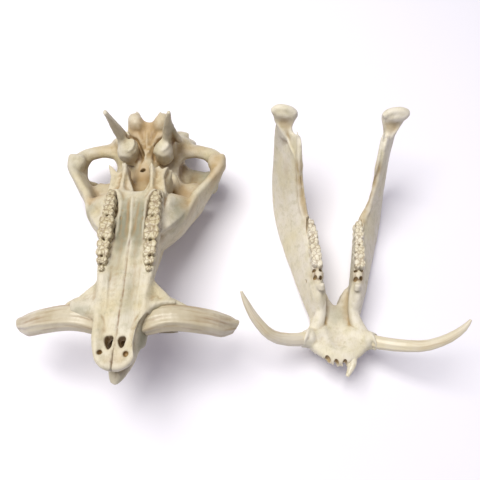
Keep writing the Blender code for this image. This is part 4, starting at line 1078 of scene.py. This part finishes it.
stains_and_crevice_shade = [(path, {"palate": 0.9, "front": 1.1}.get(name, 0.9), {"palate": 0.85, "front": 1.0}.get(name, 0.55))
          for name, path in seams.items()]
stains_and_crevice_shade += [(bent(points), width, amount) for points, width, amount in (
    ([(26.9, 69.7, -12), (29.9, 70, -12), (32.4, 61.3, -14), (38.5, 54.6, -18), (46, 50, -24)], 1.2, 0.8),
    ([(-33, 78, -10), (-46, 77.5, -14), (-58, 75.5, -18)], 1.0, 0.5),
    ([(-1.5, 300, -36), (-0.5, 304, -36), (-1.0, 308, -36), (-2.0, 312, -36), (-1.0, 316, -36)], 0.8, 0.5),
    ([(4.0, 318, -36), (5.5, 330, -35), (6.0, 340, -33)], 0.9, 0.6),
    ([(-6.0, 316, -36), (-6.5, 328, -35), (-5.0, 338, -33)], 0.9, 0.4))]
jaw_stains = []
for side in SIDES:
    stains_and_crevice_shade.append((bent([(x, y, PALATE) for x, y in CRYPTS[side]]), 1.3, 1.0))
    stains_and_crevice_shade += [(sided(side, points), width, amount) for points, width, amount in (
        ([(18, 124, -4), (17.5, 142, -4), (17, 150, -4)], 1.1, 0.6),
        ([(34.5, 146, -4), (36, 172, -4), (35, 190, -4), (31, 207, -4)], 1.2, 0.6),
        ([(28, 71, -10), (36, 76, -10), (48, 77, -14)], 1.2, 0.5),
        # Painted shade: dark brown in the crevices round the bullae and along their inner sides
        ([(x, y + 1.2, -28) for x, y in CREVICE], 3.4, 1.0),
        ([(x, y + 1.5, -19) for x, y in CREVICE], 2.2, 1.0),
        ([(13, 306, -37), (11, 297, -38), (9.5, 288, -40)], 3.2, 1.0))]
    jaw_stains += [(sided(side, [(34.2, 142), (34.0, 160), (34.5, 176), (29.0, 184), (23.0, 183), (19.6, 172)], 64),
                    1.2, 1.0),
                   (sided(side, [(21, 109), (28, 109), (27, 99), (21, 99), (21, 109)], 63), 1.4, 0.8)]
# Warm patches: orange-brown stain on the choana and skull base, and painted shade in the orbits, the cheek recesses and
# on the rear edges of the cheek plates
warm_stain_and_shade = [((-1.0, 262, -42), (12, 26, 20), 1.0), ((0.0, 300, -38), (14, 16, 8), 0.9),
        ((0, 332, -34), (34, 30, 18), 0.9), ((48, 244, -72), (22, 26, 24), 0.9),
        ((-48, 222, -44), (13, 20, 14), 0.7), ((92, 272, -36), (16, 34, 18), 0.8),
        ((60, 212, -32), (12, 18, 14), 0.6), ((-50, 220, -32), (20, 10, 14), 0.8),
        ((52, 222, -32), (20, 8, 14), 0.6), ((55, 316, -48), (24, 14, 14), 0.6),
        ((-55, 316, -48), (24, 14, 14), 0.5), ((44, 300, -30), (10, 14, 14), 0.6),
        ((-12, 240, -14), (26, 22, 10), 0.35), ((22, 240, -14), (20, 22, 10), 0.35),
        ((45, 62, -24), (13, 12, 9), 0.7), ((-62, 72, -22), (9, 7, 8), 0.6), ((2, 12, -3), (12, 8, 4), 0.35),
        ((31, 316, -45), (6, 8, 8), 0.8), ((-22, 222, -8), (9, 6, 6), 0.4), ((24, 219, -8), (10, 6, 6), 0.5),
        ((-32, 60, -12), (8, 8, 6), 0.4), ((0, 20, -2), (8, 10, 3), 0.3)]
# Grey patches: dull tone on the tusk collars, and painted shade in the palate's gutters and on sides turned from the
# light
grey_and_shade = [((-43, 66, -12), (14, 7, 8), 1.0), ((36, 62, -14), (9, 10, 8), 0.8), ((-9, 165, -6), (10, 42, 6), 1.3),
        ((9, 168, -6), (9, 42, 6), 1.2), ((-12, 120, -5), (9, 26, 5), 0.5), ((6, 80, -5), (9, 34, 5), 0.5),
        ((-57, 196, -34), (9, 17, 12), 1.0), ((100, 262, -70), (16, 26, 16), 0.8), ((25, 36, -20), (9, 30, 17), 1.2),
        ((-8, 110, -5), (9, 14, 4), 0.4), ((-94, 270, -44), (12, 26, 12), 0.4), ((56, 198, -22), (16, 28, 14), 0.9),
        ((38, 306, 0), (9, 10, 22), 0.5), ((-40, 306, 2), (12, 10, 24), 0.5), ((72, 290, -92), (20, 26, 20), 0.7),
        ((6, -4, -34), (8, 12, 8), 0.6)]
# Warm patches on the jaw: painted shade on the inner face of each ramus and under the condyles, and stain round the
# sockets
RAMUS_EDGE = [(48, 231, 102), (45, 219, 88), (42, 210, 77), (39.5, 200, 70), (37, 191, 65), (33, 181, 58)]
jaw_warm_stain_and_shade = paired(((25, 104, 58), (9, 9, 8), 0.9), ((26, 182, 58), (8, 10, 8), 0.8), ((66, 282, 122), (12, 9, 10), 0.8),
                  ((62, 170, 80), (4, 16, 12), 0.35), ((62, 240, 80), (4, 16, 12), 0.35),
                  *((place, (7.5, 10, 10), 1.0) for place in RAMUS_EDGE))
jaw_warm_stain_and_shade += [((x, 5, 42), (5, 5, 6), 1.0) for x in (-15, -5, 5)] + [((-64, 210, 66), (5, 20, 20), 0.3)]
# Grey patches on the jaw: painted shade in the dished chin and on faces turned from the light beside the tooth rows and
# tusk sockets
jaw_grey_and_shade = paired(((38, 26, 40), (8, 12, 9), 0.6), ((20, 120, 48), (6, 50, 20), 0.35))
jaw_grey_and_shade += [((0, 66, 34), (16, 20, 10), 0.8), ((5, 84, 36), (8, 12, 12), 0.8)]
mark(cranium, stains_and_crevice_shade, warm_stain_and_shade, grey_and_shade)
mark(mandible, jaw_stains, jaw_warm_stain_and_shade, jaw_grey_and_shade)
small = list(rows.values()) + [tusk for tusk, _, _ in tusks.values()] + [incisor]
for obj in small:
    mark_relief(Clay(obj), (4, 0.2), (18, 0.7), (0.4, 0.7), (0.4, 0.7))
print("marks stored on", 2 + len(small), "pieces")

# %% [markdown]
# ## Materials
# Bone is matt, cream and never even: it is mottled in patches, finely grained, dotted with pores and darker in
# its hollows, where dirt and painted shade lie together. The effects that bone, tooth and ivory share are node
# groups, and each material sets its own amounts.

# %% Material helpers


def colour(red, green, blue):
    """A colour as seen on screen, from 0 to 255, as the shader wants it."""
    return tuple((c / 12.92 if c <= 0.04045 else ((c + 0.055) / 1.055) ** 2.4)
                 for c in (red / 255, green / 255, blue / 255)) + (1.0,)


def add(tree, kind, inputs=(), **settings):
    """A node with its settings and inputs; an input is a value or another node's output."""
    node = tree.nodes.new(kind)
    for key, value in settings.items():
        setattr(node, key, value)
    for key, value in dict(inputs).items():
        socket = node.inputs[key]
        if isinstance(value, bpy.types.NodeSocket):
            tree.links.new(value, socket)
        else:
            socket.default_value = value
    return node


def maths(tree, operation, *values):
    return add(tree, "ShaderNodeMath", dict(enumerate(values)), operation=operation).outputs[0]


def blended(tree, factor, first, second, kind="MIX"):
    node = add(tree, "ShaderNodeMix", data_type="RGBA", blend_type=kind)
    for socket, value in ((0, factor), (6, first), (7, second)):
        if isinstance(value, bpy.types.NodeSocket):
            tree.links.new(value, node.inputs[socket])
        else:
            node.inputs[socket].default_value = value
    return node.outputs[2]


def ramp(tree, value, low, high):
    return add(tree, "ShaderNodeMapRange", {"Value": value, "From Min": low, "From Max": high}).outputs[0]


def group(name, inputs, outputs):
    tree = bpy.data.node_groups.new(name, "ShaderNodeTree")
    for label, kind, value in inputs:
        socket = tree.interface.new_socket(label, in_out="INPUT", socket_type=kind)
        if value is not None:
            socket.default_value = value
    for label, kind in outputs:
        tree.interface.new_socket(label, in_out="OUTPUT", socket_type=kind)
    return tree, tree.nodes.new("NodeGroupInput").outputs, tree.nodes.new("NodeGroupOutput").inputs


# %% Shared effects
grain, gi, go = group("dry bone grain",
                      [("Place", "NodeSocketVector", None), ("Pore size", "NodeSocketFloat", 900.0)],
                      [("Height", "NodeSocketFloat"), ("Pores", "NodeSocketFloat"), ("Streaks", "NodeSocketFloat")])
stretched = add(grain, "ShaderNodeMapping", {"Vector": gi["Place"], "Scale": (1.0, 0.16, 1.0)}).outputs[0]
fibres = add(grain, "ShaderNodeTexNoise", {"Vector": stretched, "Scale": 900.0, "Detail": 4.0}).outputs[0]
lumps = add(grain, "ShaderNodeTexNoise", {"Vector": gi["Place"], "Scale": 260.0, "Detail": 5.0}).outputs[0]
cell = add(grain, "ShaderNodeTexVoronoi", {"Vector": gi["Place"], "Scale": gi["Pore size"], "Randomness": 1.0})
dots = ramp(grain, cell.outputs["Distance"], 0.24, 0.06)
spread = add(grain, "ShaderNodeTexNoise", {"Vector": gi["Place"], "Scale": 60.0, "Detail": 2.0}).outputs[0]
dots = maths(grain, "MULTIPLY", dots, ramp(grain, spread, 0.48, 0.62))
height = maths(grain, "ADD", maths(grain, "MULTIPLY", fibres, 0.5), maths(grain, "MULTIPLY", lumps, 0.9))
height = maths(grain, "SUBTRACT", height, maths(grain, "MULTIPLY", dots, 0.6))
grain.links.new(height, go["Height"])
grain.links.new(dots, go["Pores"])
grain.links.new(ramp(grain, fibres, 0.5, 0.72), go["Streaks"])

mottle, gi, go = group("mottled patches",
                       [("Place", "NodeSocketVector", None), ("Size", "NodeSocketFloat", 30.0),
                        ("First", "NodeSocketColor", None), ("Second", "NodeSocketColor", None),
                        ("Third", "NodeSocketColor", None)], [("Color", "NodeSocketColor")])
broad = add(mottle, "ShaderNodeTexNoise", {"Vector": gi["Place"], "Scale": gi["Size"], "Detail": 5.0,
                                           "Roughness": 0.6}).outputs[0]
moved = add(mottle, "ShaderNodeMapping", {"Vector": gi["Place"], "Location": (3.1, 1.7, 0.4)}).outputs[0]
close = add(mottle, "ShaderNodeTexNoise", {"Vector": moved, "Scale": maths(mottle, "MULTIPLY", gi["Size"], 3.7),
                                           "Detail": 6.0, "Roughness": 0.65}).outputs[0]
mixed = blended(mottle, ramp(mottle, broad, 0.38, 0.62), gi["First"], gi["Second"])
mixed = blended(mottle, maths(mottle, "MULTIPLY", ramp(mottle, close, 0.5, 0.7), 0.7), mixed, gi["Third"])
mottle.links.new(mixed, go["Color"])

dirt_and_shade, gi, go = group("dirt and painted shade in hollows",
                     [("Color", "NodeSocketColor", None), ("Hollow", "NodeSocketFloat", 0.0),
                      ("Shelter", "NodeSocketFloat", 0.0), ("Tan", "NodeSocketColor", None),
                      ("Dark", "NodeSocketColor", None)], [("Color", "NodeSocketColor")])
# Painted shade, with some stain: tan where rays are blocked or the surface lies in a hollow, nearly black in deep
# openings
tanned = blended(dirt_and_shade, ramp(dirt_and_shade, gi["Shelter"], 0.3, 0.85), gi["Color"], gi["Tan"])
tanned = blended(dirt_and_shade, ramp(dirt_and_shade, gi["Hollow"], 0.15, 1.0), tanned, gi["Tan"])
darkened = blended(dirt_and_shade, ramp(dirt_and_shade, gi["Shelter"], 0.84, 1.0), tanned, gi["Dark"])
dirt_and_shade.links.new(darkened, go["Color"])

# %% Finishes


def material(name, roughness):
    made = bpy.data.materials.new(name)
    made.use_nodes = True
    tree = made.node_tree
    shader = tree.nodes["Principled BSDF"]
    shader.inputs["Roughness"].default_value = roughness
    place = add(tree, "ShaderNodeTexCoord").outputs["Object"]
    return made, tree, shader, place


def read(tree, name):
    return add(tree, "ShaderNodeAttribute", attribute_name=name).outputs["Fac"]


def call(tree, shared, **inputs):
    node = tree.nodes.new("ShaderNodeGroup")
    node.node_tree = shared
    for key, value in inputs.items():
        socket = node.inputs[key.replace("_", " ")]
        if isinstance(value, bpy.types.NodeSocket):
            tree.links.new(value, socket)
        else:
            socket.default_value = value
    return node.outputs


def tint(tree, base, layer, amount, shade):
    """The base colour, drawn towards a shade where a layer is strong."""
    return blended(tree, maths(tree, "MULTIPLY", layer, amount), base, shade)


def surface(tree, shader, base, height, strength, depth):
    """Gives the shader its colour and a fine relief."""
    tree.links.new(base, shader.inputs["Base Color"])
    bump = add(tree, "ShaderNodeBump", {"Height": height, "Strength": strength, "Distance": depth})
    tree.links.new(bump.outputs[0], shader.inputs["Normal"])


def bone_finish(name, *palette):
    """Mottled bone, from eight colours as seen on screen."""
    pale, cream, olive, tan, dark, brown, warm_stain_and_shade, grey_and_shade = (colour(*shade) for shade in palette)
    made, tree, shader, place = material(name, 0.55)
    base = call(tree, mottle, Place=place, Size=30.0, First=pale, Second=cream, Third=olive)["Color"]
    marks = call(tree, grain, Place=place, Pore_size=620.0)
    # Grain streaks, the grey and warm layers of dull tone, stain and painted shade, and paler edges
    for layer, amount, shade in ((marks["Streaks"], 0.22, tan), (read(tree, "grey_and_shade"), 0.75, grey_and_shade),
                                 (read(tree, "warm_stain_and_shade"), 0.75, warm_stain_and_shade), (read(tree, "edge"), 0.45, pale)):
        base = tint(tree, base, layer, amount, shade)
    # Dirt and painted shade in hollows, and painted shade in deep openings
    base = call(tree, dirt_and_shade, Color=base, Hollow=read(tree, "hollow"), Shelter=read(tree, "shelter"), Tan=tan,
                Dark=dark)["Color"]
    base = blended(tree, read(tree, "stain_and_crevice_shade"), base, brown)
    surface(tree, shader, tint(tree, base, marks["Pores"], 0.5, brown), marks["Height"], 0.45, 0.0005)
    return made


def tooth_finish(name, *palette, streaks=False):
    """Enamel with dark grooves, or ivory with streaks along it, from four colours."""
    pale, cream, tan, dark = (colour(*shade) for shade in palette)
    made, tree, shader, place = material(name, 0.32)
    base = call(tree, mottle, Place=place, Size=25.0 if streaks else 90.0, First=pale, Second=cream,
                Third=cream if streaks else tan)["Color"]
    if streaks:
        drawn = add(tree, "ShaderNodeCombineXYZ", {"X": maths(tree, "MULTIPLY", read(tree, "along"), 0.3),
                                                   "Y": read(tree, "around")}).outputs[0]
        lines = add(tree, "ShaderNodeTexNoise", {"Vector": drawn, "Scale": 7.0, "Detail": 6.0}).outputs[0]
        base = tint(tree, base, ramp(tree, lines, 0.5, 0.72), 0.75, tan)
    else:
        base = tint(tree, base, read(tree, "grooves"), 0.55, dark)
    # Painted shade in the hollows of teeth and tusks
    base = tint(tree, base, ramp(tree, read(tree, "hollow"), 0.2, 1.0), 0.8, dark)
    base = tint(tree, base, read(tree, "edge"), 0.4, pale)
    marks = call(tree, grain, Place=place, Pore_size=500.0)
    surface(tree, shader, base, marks["Height"], 0.18, 0.0003)
    return made


# The dark colour paints shade into deep openings; the warm colour serves orange-brown stain and painted shade, the grey
# one dull tone and painted shade
cranium_finish = bone_finish("aged cranium bone", (207, 200, 180), (198, 187, 153), (166, 160, 130), (150, 123, 82),
                             (36, 21, 12), (104, 64, 30), (172, 138, 80), (126, 124, 100))
mandible_finish = bone_finish("aged jaw bone", (221, 215, 200), (214, 206, 176), (188, 182, 152), (162, 138, 98),
                              (52, 32, 18), (116, 76, 38), (170, 146, 98), (162, 158, 136))
tooth_enamel = tooth_finish("tooth enamel", (196, 187, 158), (182, 170, 134), (160, 143, 102), (102, 66, 32))
lower_enamel = tooth_finish("bright tooth enamel", (226, 220, 202), (214, 206, 178), (190, 176, 140), (124, 92, 52))
upper_ivory = tooth_finish("worn ivory", (200, 191, 168), (180, 168, 139), (138, 102, 64), (122, 92, 58),
                           streaks=True)
lower_ivory = tooth_finish("smooth ivory", (218, 210, 190), (209, 199, 168), (182, 156, 114), (142, 112, 74),
                           streaks=True)
print("materials:", [m.name for m in bpy.data.materials])

# %% [markdown]
# ## Laying the pieces down
# Each finished mesh goes from its bone's millimetres to metres on the floor. It then rides on the body, stands
# for its frame nodes, and says which finish it takes.

# %% Setting down, riding and replacing


def lay_down(obj, pose, finish, slot, *nodes):
    obj.data.transform(pose)
    obj.data.materials.clear()
    obj.data.materials.append(finish)
    select_only(obj)
    bpy.ops.object.shade_smooth()
    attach(obj, "root")
    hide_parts(*nodes)


lay_down(cranium, CRANIUM, cranium_finish, "cranium_bone", *CRANIUM_NODES)
lay_down(mandible, MANDIBLE, mandible_finish, "mandible_bone", "mandible_left", "mandible_right")
for name, obj in rows.items():
    upper = name.startswith("upper")
    node = "maxilla_with_upper_teeth" if upper else "mandible_" + name.rsplit("_", 1)[1]
    lay_down(obj, CRANIUM if upper else MANDIBLE, tooth_enamel if upper else lower_enamel, "tooth", node)
for obj, node, pose in tusks.values():
    lay_down(obj, pose, upper_ivory if pose == CRANIUM else lower_ivory, "tusk_ivory", node)
lay_down(incisor, MANDIBLE, lower_enamel, "tooth", "lower_incisor")

# %% [markdown]
# ## Floor, light and camera
# A museum photograph has an even white ground and one broad soft light from above and a little behind, so that
# faces that look up are bright and cream and sides turn a cool grey. The camera looks down steeply from the
# snout's side.

# %% Floor
bpy.ops.object.select_all(action="DESELECT")
bpy.ops.mesh.primitive_plane_add(size=8.0, location=(0, 0, 0))
floor = bpy.context.object
floor.name = "floor"
paper, _, shader, _ = material("white paper ground", 0.9)
shader.inputs["Base Color"].default_value = (0.88, 0.87, 0.93, 1.0)
floor.data.materials.append(paper)

# %% Light


def area_light(name, place, target, size, power, tint):
    lamp = bpy.data.lights.new(name, "AREA")
    lamp.size = size
    lamp.energy = power
    lamp.color = tint
    obj = placed(name, lamp)
    obj.location = place
    obj.rotation_euler = (Vector(target) - Vector(place)).to_track_quat("-Z", "Y").to_euler()


area_light("key", (-0.55, 0.2, 2.1), (0, 0, 0.05), size=1.3, power=51.0, tint=(1.0, 0.98, 0.92))
world = bpy.data.worlds.new("lilac room")
bpy.context.scene.world = world
world.use_nodes = True
sky = world.node_tree.nodes["Background"]
sky.inputs[0].default_value = (0.88, 0.84, 1.0, 1.0)
sky.inputs[1].default_value = 0.36
bpy.context.scene.view_settings.view_transform = "Standard"

# %% Camera
AIM = Vector((-0.0004, -0.0029, 0.060))
ASIDE, LEAN, DISTANCE = -0.37, 27.0, 0.662            # degrees, degrees and metres
back = Vector((math.tan(math.radians(ASIDE)), -math.tan(math.radians(LEAN)), 1.0)).normalized()
right = Vector((0, 1, 0)).cross(back).normalized()
top = back.cross(right)
optics = bpy.data.cameras.new("camera")
optics.lens, optics.sensor_width = 40.0, 36.0
camera = placed("camera", optics)
camera.location = AIM + back * DISTANCE
camera.rotation_mode = "QUATERNION"
camera.rotation_quaternion = Matrix((right, top, back)).transposed().to_quaternion()
bpy.context.scene.camera = camera
print("camera stands", round(DISTANCE, 2), "m from the middle, leaning", LEAN, "degrees from the upright")
